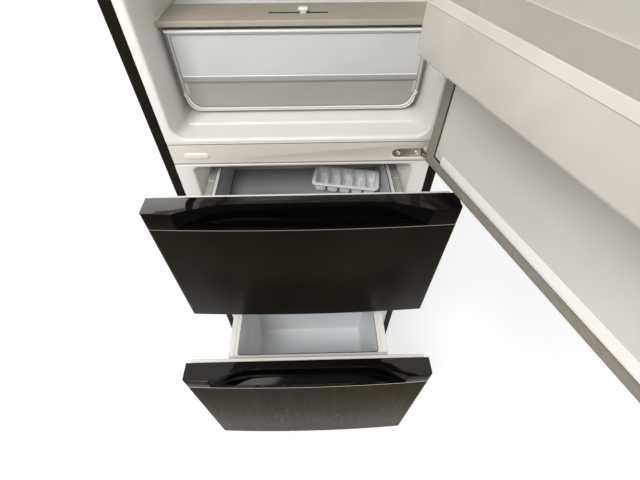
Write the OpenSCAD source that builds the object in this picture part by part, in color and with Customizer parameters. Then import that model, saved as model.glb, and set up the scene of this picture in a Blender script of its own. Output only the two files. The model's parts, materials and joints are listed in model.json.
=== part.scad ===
/* [Cabinet] */
// Outer width of the cabinet and fronts
cab_w = 595; // [560:5:640]
// Depth of the cabinet body from front flange to rear panel
cab_d = 560; // [540:10:600]
// Height of the cabinet underside above the floor
cab_bottom = 45; // [40:1:60]
// Thickness of the steel casing
sheet = 1; // [0.8:0.1:1.5]
// Thickness of the steel base frame
base_t = 1.5; // [1.2:0.1:2.5]
// Width of the painted front flange
flange_w = 20.5; // [16:0.5:24]
// Height of the base frame's front lip
lip_h = 15; // [10:1:20]
// Clearance from the door's top edge to the cabinet top
top_gap = 5; // [4:0.5:8]

/* [Fronts] */
// Height of the lower drawer front's bottom edge above the floor
lower_z = 35; // [30:1:45]
// Height of the lower drawer front
lower_h = 478; // [460:2:500]
// Height of the upper drawer front
upper_h = 366; // [350:2:400]
// Height of the fridge door
door_h = 966; // [900:10:1000]
// Gap between the two drawer fronts
drawer_gap = 25; // [20:1:30]
// Gap between the upper drawer front and the fridge door, where the hinge arm lies
hinge_gap = 10; // [9:0.5:14]
// Thickness of a front at its side edges
front_t = 43.3; // [38:0.5:50]
// How far a front bows out at the middle
bow = 8; // [4:1:12]
// Thickness of a front's steel skin
skin = 1; // [0.8:0.1:1.5]
// Thickness of the moulded inner panels
inner_t = 2; // [1.5:0.1:3]
// Space for the gasket between a front and the cabinet
gasket_gap = 12.5; // [10:0.5:16]
// Height of a gloss handle trim
trim_h = 42; // [36:1:50]
// Height of the door's top cap
cap_h = 18; // [16:1:24]

/* [Handles] */
// Half length of the handle recess at the front
grip_half = 236; // [200:2:250]
// Half length of the recess's straight back wall
grip_back_half = 149; // [120:1:170]
// Depth of the ledge left behind the handle recess
grip_ledge = 21; // [16:1:24]
// Depth of the finger pocket below the front panel's edge
pocket_d = 30; // [22:1:40]
// Distance from the front's surface to the finger pocket
pocket_front = 6; // [5:0.5:9]
// Wall of the handle trim
trim_wall = 2.5; // [2:0.1:3.5]

/* [Gaskets] */
// Width of the fridge door gasket
door_gasket_w = 26; // [22:1:30]
// Width of a drawer gasket
drawer_gasket_w = 19; // [14:1:20]
// Clearance of a closed gasket to the cabinet
gasket_clear = 0.5; // [0.3:0.1:1]
// Set-back of the gasket's sealing bead from its edges
bead_inset = 6; // [4:0.5:8]
// Height of the gasket's base
bead_base = 6; // [4:0.5:8]

/* [Cavities] */
// Thickness of the liners
liner_t = 2; // [1.5:0.1:3]
// Side wall of the fridge, liner included
fridge_wall = 41.5; // [36:0.5:50]
// Extra half width of the fridge opening at its flared mouth
fridge_flare = 3; // [1:0.5:6]
// Depth of the fridge cavity
fridge_depth = 500; // [480:5:510]
// Fridge ceiling below the door's top edge
fridge_ceiling_drop = 35; // [30:1:50]
// Fridge floor above the centre rail
fridge_sill = 8; // [6:1:14]
// Side wall of the freezer, liner included
freezer_wall = 73.5; // [70:0.5:80]
// Extra half width of the freezer opening at its flared mouth
freezer_flare = 16; // [10:1:20]
// Depth of the flared mouth of the freezer
freezer_flare_d = 45; // [30:1:60]
// Depth of the freezer cavity
freezer_depth = 500; // [480:5:510]
// Depth of the freezer below the machine step
freezer_low_depth = 280; // [270:2:290]
// Freezer floor above the cabinet underside
freezer_floor_rise = 95; // [60:1:100]
// Freezer ceiling below the upper drawer front's top edge
freezer_ceiling_drop = 25; // [20:1:30]
// Height of the floor step behind the fridge sill
floor_step = 4; // [2:0.5:6]
// Distance of the fridge floor step from the front
floor_step_y = 74; // [60:1:84]

/* [Rails between the fronts] */
// Height of the centre rail
rail_h = 54.5; // [48:0.5:60]
// Drop of the centre rail's lower edge below the upper drawer front's top edge
rail_drop = 17; // [12:0.5:22]
// Thickness of the centre rail
rail_t = 12; // [8:0.5:16]
// Height of the divider rail between the drawers
divider_h = 55; // [48:1:60]
// Depth of the divider rail
divider_d = 40; // [30:1:44]
// Length of the oval hole cap
hole_cap_l = 52; // [44:1:60]
// Height of the oval hole cap
hole_cap_h = 14; // [11:0.5:14]
// Distance of the hole cap's middle from the cabinet's side
hole_cap_side = 74.5; // [62:0.5:98]

/* [Hinges] */
// Distance of the hinge pin from the cabinet's outer side
pin_side = 16.5; // [15:0.5:22]
// Distance of the hinge pin in front of the cabinet
pin_front = 35; // [32:0.5:40]
// Radius of the hinge pins
pin_r = 5; // [4:0.5:6]
// Radial clearance of a pin or shaft in its bore
run_clear = 0.05; // [0.02:0.01:0.1]
// Engagement of a hinge pin in the door
pin_len = 17; // [12:1:17]
// Thickness of the hinge brackets
bracket_t = 3; // [2.5:0.5:4]
// Thickness of the middle hinge's screwed plate
plate_t = 2; // [1.5:0.5:3]
// Height of the middle hinge's screwed plate
plate_h = 20; // [16:1:20]
// Length of the middle hinge's screwed plate
plate_l = 65; // [55:1:75]
// Radius of the hinge screws
screw_r = 2.5; // [2:0.25:3]
// Radius of the hinge screws' heads
screw_head_r = 4.5; // [4:0.25:5.5]
// Thickness of the top hinge's cover
cover_wall = 2; // [1.5:0.5:3]
// Height of the top hinge's cover
cover_h = 15; // [12:1:20]

/* [Pose in the photograph] */
// Opening angle of the fridge door
door_open = 107.5; // [0:0.5:115]
// Opening of the upper freezer drawer
upper_open = 109.4; // [0:1:300]
// Opening of the lower freezer drawer
lower_open = 272.4; // [0:1:300]
// Turn of the ice tray as it lies
ice_turn = -10.2; // [-15:0.1:15]

/* [Freezer drawers] */
// Room for a telescopic slide between a drawer and the freezer wall
slide_room = 20; // [18:0.5:24]
// Height of a telescopic slide
slide_h = 34; // [28:1:45]
// Depth of a telescopic slide's cabinet member
slide_d = 16; // [14:0.5:18]
// Metal thickness of the telescopic slides
slide_t = 1.5; // [1.2:0.1:2]
// Clearance between sliding members
slide_clear = 0.3; // [0.2:0.05:0.5]
// Length of a slide member
slide_l = 400; // [360:5:410]
// Set-back of the slides behind the front flange
slide_y = 20; // [18:1:30]
// Height of a drawer's side bar
bar_h = 55; // [50:1:65]
// Thickness of the upper drawer's side bar
upper_bar_t = 7.5; // [6:0.5:12]
// Thickness of the lower drawer's side bar
lower_bar_t = 13.5; // [10:0.5:16]
// Ledge of the lower drawer's bar under the basket lip
bar_ledge = 6.5; // [4:0.5:8]
// Drop of a drawer's slide centre below its rim
slide_drop = 28; // [26:1:32]
// Wall of the baskets
basket_t = 2.2; // [1.8:0.1:3]
// Thickness of a basket's lip
lip_t = 3; // [2:0.5:4]
// Drop of the upper basket's rim below the freezer ceiling
upper_rim_drop = 41; // [38:1:50]
// Depth of the upper basket
upper_basket_h = 268; // [240:2:276]
// Drop of the lower basket's rim below the divider rail
lower_rim_drop = 10; // [8:0.5:16]
// Rise of the lower basket's floor above the freezer floor
lower_basket_rise = 20; // [12:1:40]
// Rise of the lower basket's rear floor above the machine step
rear_basket_rise = 15; // [10:1:30]
// Gap between the lower basket and its side bar
lower_basket_gap = 10; // [9:0.5:12]
// Depth of the baskets behind the fronts' plugs
basket_l = 411; // [380:1:415]
// Depth of the lower basket's deep part
deep_l = 235; // [200:5:240]
// Depth of the inner panels' plugs
plug_d = 26.5; // [20:0.5:30]
// Depth of the sliding tray
tray_l = 232; // [200:2:250]
// Height of the sliding tray
tray_h = 75; // [60:1:90]
// Wall of the sliding tray
tray_t = 2; // [1.5:0.1:3]

/* [Ice tray] */
// Length of the ice tray
ice_l = 163; // [150:1:170]
// Width of the ice tray
ice_w = 75; // [60:1:80]
// Height of the ice tray
ice_h = 29; // [20:1:35]
// Number of cells in the ice tray
ice_cells = 5; // [4:1:6]
// Wall of the ice tray
ice_t = 1.6; // [1.2:0.1:2.4]
// Distance of the ice tray's middle from the tray's centre line
ice_x = 103; // [60:1:103]

/* [Crisper] */
// Height of the crisper cover's top above the fridge floor
cover_rise = 187; // [180:1:200]
// Distance of the crisper cover's front edge from the cabinet front
cover_y = 85; // [80:1:90]
// Depth of the crisper cover plate
cover_l = 98; // [90:1:110]
// Thickness of the crisper cover
cover_t = 3; // [2.5:0.5:4]
// Height of the crisper cover's front lip
cover_lip = 10; // [8:0.5:14]
// Thickness of the glass shelves
glass_t = 4; // [3.5:0.5:5]
// Width of the shelf ribs on the fridge walls
rib_w = 8; // [6:0.5:10]
// Height of the shelf ribs
rib_h = 8; // [6:0.5:10]
// Depth of the crisper drawer
crisper_l = 325; // [280:5:330]
// Wall of the crisper drawer
crisper_t = 2.5; // [2:0.1:3]
// Clearance of the crisper drawer's front to the fridge walls
crisper_side = 9; // [8:0.5:14]
// Height of the crisper drawer's runners
runner_h = 7.7; // [6:0.1:12]
// Height of the crisper front's handle bar above its bottom edge
crisper_bar_rise = 63; // [50:1:80]
// Length of the humidity slot
slot_l = 112; // [90:2:140]
// Width of the humidity slot
slot_w = 5; // [4:0.5:7]
// Distance of the slot behind the cover's front edge
slot_y = 40; // [30:1:50]
// Position of the humidity slider along the slot
slider_x = 9; // [-40:1:40]
// Length of the humidity slider's knob
knob_l = 18; // [14:1:24]

/* [Fridge fittings] */
// Height of the lower glass shelf above the fridge floor
shelf_1_rise = 410; // [380:5:430]
// Height of the upper glass shelf above the fridge floor
shelf_2_rise = 640; // [600:5:680]
// Set-back of the glass shelves behind the front
shelf_y = 112; // [108:1:130]
// Depth of the glass shelves' rear edge behind the front
shelf_rear = 440; // [420:5:460]
// Height of a door bin
bin_h = 78; // [60:1:100]
// Depth of the door bins from the door liner
bin_d = 90; // [70:1:90]
// Wall of the door bins
bin_t = 2.5; // [2:0.1:3.5]
// Height of the lowest bin above the door's bottom edge
bin_rise = 236; // [230:2:260]
// Distance from one bin to the next
bin_pitch = 235; // [220:5:260]
// Height of the door liner's raised middle
plateau = 16; // [10:1:16]
// Half width of the air duct cover
duct_half = 55; // [40:1:70]
// Depth of the air duct cover
duct_d = 16; // [12:1:24]
// Half width of the control panel
control_half = 130; // [100:5:160]
// Height of the control panel
control_h = 32; // [30:1:36]
// Depth of the control panel
control_d = 190; // [150:5:220]
// Set-back of the control panel
control_y = 50; // [46:1:60]
// Radius of the temperature dial
dial_r = 13; // [10:0.5:14]
// Thickness of the temperature dial
dial_t = 11.7; // [9:0.1:14]

/* [Cooling] */
// Set-back of the evaporator cover in front of the freezer's rear wall
evap_room = 60; // [54:1:70]
// Radius of the fan opening
fan_r = 48; // [42:1:52]
// Number of fan blades
fan_blades = 5; // [4:1:7]
// Radius of the fan motor
motor_r = 20; // [16:1:24]
// Radius of the fan shaft
shaft_r = 2; // [1.5:0.25:3]
// Number of evaporator fins
fins = 12; // [8:1:16]
// Distance of the machine compartment's front wall from the front
machine_y = 330; // [322:1:340]
// Height of the machine compartment's roof above the floor
machine_top = 301.5; // [296:0.5:310]
// Radius of the compressor shell
comp_r = 72; // [60:1:80]
// Height of the compressor shell
comp_h = 180; // [150:5:190]
// Distance of the compressor from the centre line
comp_x = 110; // [90:5:130]
// Height of the compressor's rubber mounts
mount_h = 18; // [14:1:22]
// Half distance between the compressor's mounts, side to side
mount_dx = 85; // [80:1:90]
// Half distance between the compressor's mounts, front to back
mount_dy = 55; // [50:1:60]
// Height of the discharge line above the compressor's foot plate
outlet_rise = 130; // [120:5:150]
// Number of condenser runs
cond_runs = 13; // [9:2:15]
// Distance between condenser runs
cond_pitch = 90; // [70:5:95]
// Radius of the condenser tube
cond_r = 2.5; // [2:0.25:3.5]
// Distance of the condenser tube from the rear panel
cond_off = 9; // [8:0.5:14]
// Number of condenser wires
wires = 17; // [9:1:21]

/* [Feet and rollers] */
// Distance of the front feet from the cabinet's sides
foot_side = 57.5; // [40:0.5:90]
// Distance of the front feet behind the front
foot_y = 50; // [40:1:80]
// Radius of a foot's pad
foot_r = 20; // [15:1:25]
// Thickness of a foot's pad
foot_pad = 10; // [8:1:14]
// Radius of a foot's screw
stud_r = 5; // [4:0.5:6]
// Distance of the rollers from the cabinet's sides
roller_side = 47.5; // [38:0.5:90]
// Distance of the rollers in front of the rear panel
roller_back = 35; // [30:1:70]
// Radius of a roller
roller_r = 15; // [12:1:18]
// Width of a roller
roller_w = 18; // [14:1:24]
// Radius of a roller's axle
axle_r = 3; // [2.5:0.25:4]

/* [Hidden] */
eps = 1;
soft_gap = 0.3;
half_w = cab_w / 2;
fine = 64;
arc_fine = 720;

lower_top = lower_z + lower_h;
upper_z = lower_top + drawer_gap;
upper_top = upper_z + upper_h;
door_z = upper_top + hinge_gap;
door_top = door_z + door_h;
cab_top = door_top + top_gap;

inner_half = half_w - sheet;
land_half = half_w - flange_w;
base_top = cab_bottom + base_t;
lip_top = cab_bottom + lip_h;

rail_z0 = upper_top - rail_drop;
rail_z1 = rail_z0 + rail_h;
fridge_z0 = rail_z1 + fridge_sill;
fridge_z1 = door_top - fridge_ceiling_drop;
fridge_half = half_w - fridge_wall;
fridge_mouth = fridge_half + fridge_flare;
fridge_flare_d = 12;

freezer_half = half_w - freezer_wall;
freezer_mouth = freezer_half + freezer_flare;
freezer_z0 = cab_bottom + freezer_floor_rise;
freezer_z1 = upper_top - freezer_ceiling_drop;
step_wall = 48;
freezer_step_z = machine_top + step_wall;
divider_z0 = (lower_top + upper_z - divider_h) / 2;
divider_z1 = divider_z0 + divider_h;

rear_y = -gasket_gap;
front_y = rear_y - front_t;
bow_r = (half_w * half_w + bow * bow) / (2 * bow);

hole_cap_x = half_w - hole_cap_side;
foot_x = half_w - foot_side;
roller_x = half_w - roller_side;
roller_y = cab_d - roller_back;
pin_x = half_w - pin_side;
arm_z0 = upper_top + 2;
arm_z1 = arm_z0 + bracket_t;
plate_x0 = pin_x - 90;
plate_z0 = arm_z0 - 6;
plate_mid = plate_z0 + plate_h / 2;
screw_xs = [plate_x0 + 12, plate_x0 + plate_l - 14];
door_gasket_z0 = plate_z0 + plate_h + 0.5;
door_gasket_z1 = door_top - 5;
door_gasket_half = half_w - 12.5;
drawer_gasket_half = half_w - 9.5;
top_bracket_x = [pin_x - 56, pin_x + 13];
top_bracket_y = [-pin_front - 13, 90];
top_screws = [[pin_x - 41, 30], [pin_x - 41, 70], [pin_x - 5, 50]];
screw_l = 12;

rail_x = freezer_half - slide_room;
upper_rim = freezer_z1 - upper_rim_drop;
lower_rim = divider_z0 - lower_rim_drop;
plug_y = rear_y + plug_d;
basket_y = plug_y + soft_gap;
upper_basket_half = rail_x - upper_bar_t - soft_gap;
lower_bar_x = rail_x - lower_bar_t;
lower_basket_half = lower_bar_x - lower_basket_gap;
bar_clear = 0.3;
ledge_gap = 1.5;
gasket_margin = 5;
plug_margin = gasket_margin + drawer_gasket_w + 0.5;

tray_rim = upper_rim + lip_t - 1 + soft_gap;
tray_half = upper_basket_half - basket_t - 0.5;
tray_y = basket_y + basket_t + 1.5;
tray_floor = tray_rim + lip_t - tray_h;
ice_pitch = (ice_l - 13) / ice_cells;
ice_y = 169.4;

cover_top = fridge_z0 + cover_rise;
cover_bottom = cover_top - cover_t;
rib_levels = [cover_bottom - glass_t, fridge_z0 + shelf_1_rise, fridge_z0 + shelf_2_rise];
rib_y = 100;
crisper_half = fridge_half - crisper_side;
crisper_front = cover_y + 7;
runner_z = fridge_z0 + floor_step + soft_gap;
crisper_z0 = runner_z + runner_h;
crisper_z1 = rib_levels[0] - rib_h - 1.5;
front_step = 33;
slot_mid = cover_y + slot_y;

plateau_half = fridge_half - 4;
plateau_y = rear_y + plateau;
plateau_z0 = max(fridge_z0 + 6, door_z + trim_h + 0.5);
plateau_z1 = fridge_z1 - 6;
bin_x0 = 15 - plateau_half - 4;
bin_x1 = plateau_half - 3;
bin_zs = [door_z + bin_rise, door_z + bin_rise + bin_pitch, door_z + bin_rise + 2 * bin_pitch];

evap_y = freezer_depth - evap_room;
fan_z = freezer_z1 - 119;
fan_y = evap_y + 17;
hub_r = 14;
comp_y = (machine_y + cab_d) / 2;
comp_z = base_top + mount_h + 3;
cond_y = cab_d + cond_off;
cond_z0 = machine_top + 90;
cond_half = half_w - 52;
cond_bend = 20;
drier_z = base_top + 60;
drier_l = 90;
drier_y = machine_y + 60;

black = "#17150f";
panel_col = "#2b221a";
gloss = "#0b0b0d";
liner_col = "#ece8df";
cream = "#d9d1c1";
taupe = "#8b8378";
cover_col = "#9b9487";
clear_col = "#d5dad8";
metal = "#b4b2aa";
steel_dark = "#6f6d68";
foam_col = "#e6d9a8";

// The origin lies on the floor under the left front foot's pad
module placed() {
    translate([foot_x, -foot_y, 0]) children();
}

module box(x0, x1, y0, y1, z0, z1) {
    translate([x0, y0, z0]) cube([x1 - x0, y1 - y0, z1 - z0]);
}

module mid_box(half, y0, y1, z0, z1) {
    box(-half, half, y0, y1, z0, z1);
}

module both_sides() {
    children();
    mirror([1, 0, 0]) children();
}

module rod_y(x, z, r, y0, y1) {
    translate([x, y0, z]) rotate([-90, 0, 0]) cylinder(r = r, h = y1 - y0, $fn = fine);
}

module rod_x(y, z, r, x0, x1) {
    translate([x0, y, z]) rotate([0, 90, 0]) cylinder(r = r, h = x1 - x0, $fn = fine);
}

module rod_z(x, y, r, z0, z1) {
    translate([x, y, z0]) cylinder(r = r, h = z1 - z0, $fn = fine);
}

module along_x(half, points) {
    translate([-half, 0, 0]) rotate([90, 0, 90]) linear_extrude(2 * half) polygon(points);
}

// Plan outline of a cavity with a flared mouth; grow thickens it and lead runs it out of the front
function cavity_plan(half, mouth, flare_d, depth, grow, lead) = [
    [mouth + grow, -lead], [mouth + grow, 0], [half + grow, flare_d], [half + grow, depth + grow],
    [-half - grow, depth + grow], [-half - grow, flare_d], [-mouth - grow, 0], [-mouth - grow, -lead]];

module fridge_cavity(grow, lead) {
    translate([0, 0, fridge_z0 - grow])
        linear_extrude(fridge_z1 - fridge_z0 + 2 * grow)
            polygon(cavity_plan(fridge_half, fridge_mouth, fridge_flare_d, fridge_depth, grow, lead));
}

module freezer_cavity(grow, lead) {
    translate([0, 0, freezer_step_z - grow])
        linear_extrude(freezer_z1 - freezer_step_z + 2 * grow)
            polygon(cavity_plan(freezer_half, freezer_mouth, freezer_flare_d, freezer_depth, grow, lead));
    translate([0, 0, freezer_z0 - grow])
        linear_extrude(freezer_step_z - freezer_z0 + grow + eps)
            polygon(cavity_plan(freezer_half, freezer_mouth, freezer_flare_d, freezer_low_depth, grow, lead));
}

module foot_places() {
    both_sides() translate([foot_x, foot_y, 0]) children();
}

// Folded steel shell with its front flange
module outer_casing() color(black) placed() {
    difference() {
        mid_box(half_w, 0, cab_d - sheet, cab_bottom, cab_top);
        mid_box(inner_half, sheet, cab_d, cab_bottom - eps, cab_top - sheet);
        mid_box(land_half, -eps, sheet + eps, cab_bottom - eps, cab_top - flange_w);
        for (s = top_screws) rod_z(s[0], s[1], screw_r + 0.1, cab_top - sheet - eps, cab_top + eps);
    }
}

clip_runs = [1, floor(cond_runs / 2), cond_runs - 2];

// Rear sheet with the clips that hold the condenser
module rear_panel() color("#9c9a94") placed() {
    mid_box(half_w, cab_d - sheet, cab_d, machine_top, cab_top);
    for (run = clip_runs)
        both_sides()
            difference() {
                box(144, 156, cab_d - sheet / 2, cond_y + cond_r + 2, run_z(run) - 6, run_z(run) + 6);
                rod_x(cond_y, run_z(run), cond_r + 0.1, 140, 160);
            }
}

// Base with front lip, machine step, foot bosses and roller brackets
module base_frame() color("#2c2b29") placed() {
    difference() {
        union() {
            mid_box(inner_half, sheet, cab_d - sheet, cab_bottom, base_top);
            mid_box(land_half, 0, base_t, cab_bottom, lip_top);
            mid_box(inner_half, machine_y, machine_y + base_t, cab_bottom, machine_top);
            mid_box(inner_half, machine_y, cab_d - sheet, machine_top - base_t, machine_top);
            foot_places() rod_z(0, 0, stud_r + 4, cab_bottom, cab_bottom + 20);
            both_sides() roller_bracket();
        }
        foot_places() rod_z(0, 0, stud_r + run_clear, cab_bottom - eps, cab_bottom + 20 + eps);
    }
}

module roller_bracket() {
    cheek = 3;
    for (side = [-1, 1])
        translate([roller_x + side * (roller_w / 2 + 0.5 + cheek / 2), roller_y, 0])
            box(-cheek / 2, cheek / 2, -12, 12, roller_r - 8, cab_bottom + base_t / 2);
    rod_x(roller_y, roller_r, axle_r, roller_x - roller_w / 2 - 3, roller_x + roller_w / 2 + 3);
}

// Foamed insulation between casing and liners
module insulation_foam() color(foam_col) placed() {
    difference() {
        along_x(inner_half, [[liner_t, base_top], [machine_y, base_top], [machine_y, machine_top],
            [cab_d - sheet, machine_top], [cab_d - sheet, cab_top - sheet], [liner_t, cab_top - sheet]]);
        fridge_cavity(liner_t, eps);
        freezer_cavity(liner_t, eps);
        mid_box(land_half, liner_t - eps, rail_t, rail_z0, rail_z1);
        foot_places() rod_z(0, 0, stud_r + 4, cab_bottom, cab_bottom + 20);
        for (s = top_screws) rod_z(s[0], s[1], screw_r + 0.1, cab_top - screw_l, cab_top);
    }
}

// Fridge compartment liner with shelf ribs and floor step
module fridge_liner() color(liner_col) placed() {
    difference() {
        union() {
            fridge_cavity(liner_t, 0);
            mid_box(land_half, 0, liner_t, rail_z1, cab_top - flange_w);
        }
        fridge_cavity(0, eps);
    }
    for (level = rib_levels)
        both_sides()
            box(fridge_half - rib_w, fridge_half + liner_t / 2, rib_y, shelf_rear, level - rib_h, level);
    mid_box(fridge_half - 8, floor_step_y, fridge_depth + liner_t / 2, fridge_z0 - liner_t / 2,
        fridge_z0 + floor_step);
}

// Freezer compartment liner, stepped over the machine compartment, with a ledge over each slide
module freezer_liner() color(liner_col) placed() {
    difference() {
        union() {
            freezer_cavity(liner_t, 0);
            mid_box(land_half, 0, liner_t, lip_top, rail_z0);
        }
        freezer_cavity(0, eps);
    }
    for (rim = [upper_rim, lower_rim])
        both_sides()
            box(rail_x + ledge_gap, freezer_half + liner_t / 2, freezer_flare_d, slide_y + slide_l,
                rim - slide_drop + slide_h / 2 + ledge_gap, rim + 8);
}

module hole_cap_outline(grow) {
    square([hole_cap_l - hole_cap_h, hole_cap_h + 2 * grow], center = true);
    for (side = [-1, 1])
        translate([side * (hole_cap_l - hole_cap_h) / 2, 0]) circle(d = hole_cap_h + 2 * grow, $fn = fine);
}

cap_stems = [-hole_cap_x - 12, -hole_cap_x + 12];

// Cross rail between fridge and freezer
module centre_rail() color(cream) placed() {
    difference() {
        mid_box(land_half, 0, rail_t, rail_z0, rail_z1);
        box(plate_x0, plate_x0 + plate_l, -eps, plate_t, plate_z0, plate_z0 + plate_h);
        box(arm_x0, land_half + eps, -eps, plate_t, arm_z0, arm_z1);
        for (x = screw_xs) rod_y(x, plate_mid, screw_r, -eps, rail_t + eps);
        for (x = cap_stems) rod_y(x, plate_mid, 3 + run_clear, -eps, 8 + eps);
    }
}

// Oval cap over the unused hinge place
module rail_hole_cap() color(cream) placed() {
    translate([-hole_cap_x, 0, plate_mid]) rotate([90, 0, 0]) linear_extrude(2.5) hole_cap_outline(0);
    for (x = cap_stems) rod_y(x, plate_mid, 3, -eps, 8);
}

// Cross rail between the two freezer drawers
module divider_rail() color(cream) placed() {
    deep_half = freezer_mouth - freezer_flare * divider_d / freezer_flare_d;
    translate([0, 0, divider_z0])
        linear_extrude(divider_h)
            polygon([[freezer_mouth - 0.1, 0], [deep_half - 0.1, divider_d], [-deep_half + 0.1, divider_d],
                [-freezer_mouth + 0.1, 0]]);
}

arm_x0 = plate_x0 + plate_l - 6;

// Middle hinge: screwed plate, folded arm and pin
module middle_hinge_bracket() color(metal) placed() {
    difference() {
        union() {
            box(plate_x0 + plate_h / 2, plate_x0 + plate_l, 0, plate_t, plate_z0, plate_z0 + plate_h);
            rod_y(plate_x0 + plate_h / 2, plate_mid, plate_h / 2, 0, plate_t);
            box(arm_x0, land_half, -eps, plate_t, arm_z0, arm_z1);
            box(arm_x0, pin_x + 13, -pin_front - 13, -soft_gap, arm_z0, arm_z1);
            rod_z(pin_x, -pin_front, pin_r, arm_z0, door_z + pin_len);
        }
        for (x = screw_xs) rod_y(x, plate_mid, screw_r + 0.1, -eps, plate_t + eps);
    }
}

// Top hinge: plate screwed to the cabinet top, with its pin
module top_hinge_bracket() color(metal) placed() {
    difference() {
        union() {
            box(top_bracket_x[0], top_bracket_x[1], top_bracket_y[0], top_bracket_y[1], cab_top,
                cab_top + bracket_t);
            rod_z(pin_x, -pin_front, pin_r, door_top - pin_len, cab_top + bracket_t);
        }
        for (s = top_screws) rod_z(s[0], s[1], screw_r + 0.1, cab_top - eps, cab_top + bracket_t + eps);
    }
}

// Screws of both hinges
module hinge_screws() color("#cfccc4") placed() {
    for (x = screw_xs) {
        rod_y(x, plate_mid, screw_head_r, -1.8, 0);
        rod_y(x, plate_mid, screw_r, -0.5, rail_t);
    }
    for (s = top_screws) {
        rod_z(s[0], s[1], screw_head_r, cab_top + bracket_t, cab_top + bracket_t + 2.5);
        rod_z(s[0], s[1], screw_r, cab_top - screw_l, cab_top + bracket_t + 1);
    }
}

// Plastic cover over the top hinge
module top_hinge_cover() color(gloss) placed() {
    x0 = top_bracket_x[0] - cover_wall - 1;
    x1 = top_bracket_x[1] + cover_wall + 0.5;
    y0 = top_bracket_y[0] - cover_wall - 1;
    y1 = top_bracket_y[1] + cover_wall + 6;
    difference() {
        box(x0, x1, y0, y1, cab_top, cab_top + cover_h);
        box(x0 + cover_wall, x1 - cover_wall, y0 + cover_wall, y1 - cover_wall, cab_top - eps,
            cab_top + cover_h - cover_wall);
    }
}

// Grey plate over the crisper with the humidity slot
module crisper_cover() color(cover_col) placed() {
    half = fridge_half - 0.5;
    difference() {
        union() {
            mid_box(half, cover_y, cover_y + cover_l, cover_bottom, cover_top);
            mid_box(half, cover_y, cover_y + 2.5, cover_top - cover_lip, cover_top);
            both_sides() box(half - 3, half, cover_y, cover_y + cover_l, rib_levels[0], cover_top);
        }
        mid_box(slot_l / 2, slot_mid - slot_w / 2, slot_mid + slot_w / 2, cover_bottom - eps,
            cover_top + eps);
    }
}

// Slider that opens and shuts the crisper's vents
module humidity_slider() color("#dcdad2") placed() {
    neck_y = slot_w / 2 - soft_gap;
    translate([slider_x, slot_mid, 0]) {
        box(-knob_l / 2, knob_l / 2, -8, 8, cover_top + soft_gap, cover_top + 9);
        box(-6, 6, -neck_y, neck_y, cover_bottom - 2, cover_top + 1);
        box(-8, 8, -6, 6, cover_bottom - soft_gap - 2, cover_bottom - soft_gap);
    }
}

// Three glass panes: over the crisper and two shelves
module glass_shelves() color(clear_col, 0.5) placed() {
    mid_box(fridge_half - 5, cover_y + cover_l - 10, shelf_rear, rib_levels[0], rib_levels[0] + glass_t);
    for (i = [1, 2])
        mid_box(fridge_half - 1.5, shelf_y, shelf_rear, rib_levels[i], rib_levels[i] + glass_t);
}

// Cold-air channel on the fridge's rear wall
module air_duct_cover() color(liner_col) placed() {
    z0 = cover_top + 30;
    z1 = fridge_z1 - 40;
    vent_h = 12;
    difference() {
        mid_box(duct_half, fridge_depth - duct_d, fridge_depth, z0, z1);
        mid_box(duct_half - 2, fridge_depth - duct_d + 2, fridge_depth + eps, z0 + 2, z1 - 2);
        for (z = [z0 + 60 : 130 : z1 - 40])
            both_sides()
                box(duct_half - 40, duct_half - 10, fridge_depth - duct_d - eps,
                    fridge_depth - duct_d + 2 + eps, z, z + vent_h);
    }
}

dial_x = 70;
dial_z = fridge_z1 - control_h / 2;
dial_pin_l = 10;

// Ceiling housing with the dial's spindle
module control_panel() color("#f1efe9") placed() {
    difference() {
        mid_box(control_half, control_y, control_y + control_d, fridge_z1 - control_h, fridge_z1);
        mid_box(control_half - 2.5, control_y + 2.5, control_y + control_d - 2.5, fridge_z1 - control_h + 2.5,
            fridge_z1 + eps);
    }
    rod_y(dial_x, dial_z, 3, control_y - dial_pin_l, control_y + 2);
}

// Temperature dial with a pointer bar
module temperature_dial() color("#c9c7c0") placed() {
    back = control_y - soft_gap;
    difference() {
        union() {
            rod_y(dial_x, dial_z, dial_r, back - dial_t, back);
            box(dial_x - 1.5, dial_x + 1.5, back - dial_t - 1.5, back - dial_t + 1, dial_z,
                dial_z + dial_r - 1);
        }
        rod_y(dial_x, dial_z, 3 + run_clear, control_y - dial_pin_l - 0.5, back + eps);
    }
}

// Finned evaporator on the freezer's rear wall
module evaporator() color("#b9bcbd") placed() {
    fin_half = freezer_half - 44;
    fin_pitch = 2 * fin_half / (fins - 1);
    tube_y = freezer_depth - 24;
    z0 = freezer_step_z + 40;
    rows = 5;
    row_pitch = 42;
    for (i = [0 : fins - 1])
        translate([-fin_half + i * fin_pitch, 0, 0])
            box(-0.6, 0.6, freezer_depth - 46, freezer_depth, z0, z0 + rows * row_pitch + 10);
    for (row = [0 : rows - 1]) {
        z = z0 + 26 + row * row_pitch;
        rod_x(tube_y, z, 4, -fin_half - 8, fin_half + 8);
        if (row < rows - 1)
            translate([(row % 2 == 0 ? 1 : -1) * (fin_half + 8), tube_y, z + row_pitch / 2])
                rotate([90, row % 2 == 0 ? 0 : 180, 0])
                    rotate([0, 0, -90]) rotate_extrude(angle = 180, $fn = fine)
                        translate([row_pitch / 2, 0]) circle(r = 4, $fn = 24);
    }
}

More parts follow.
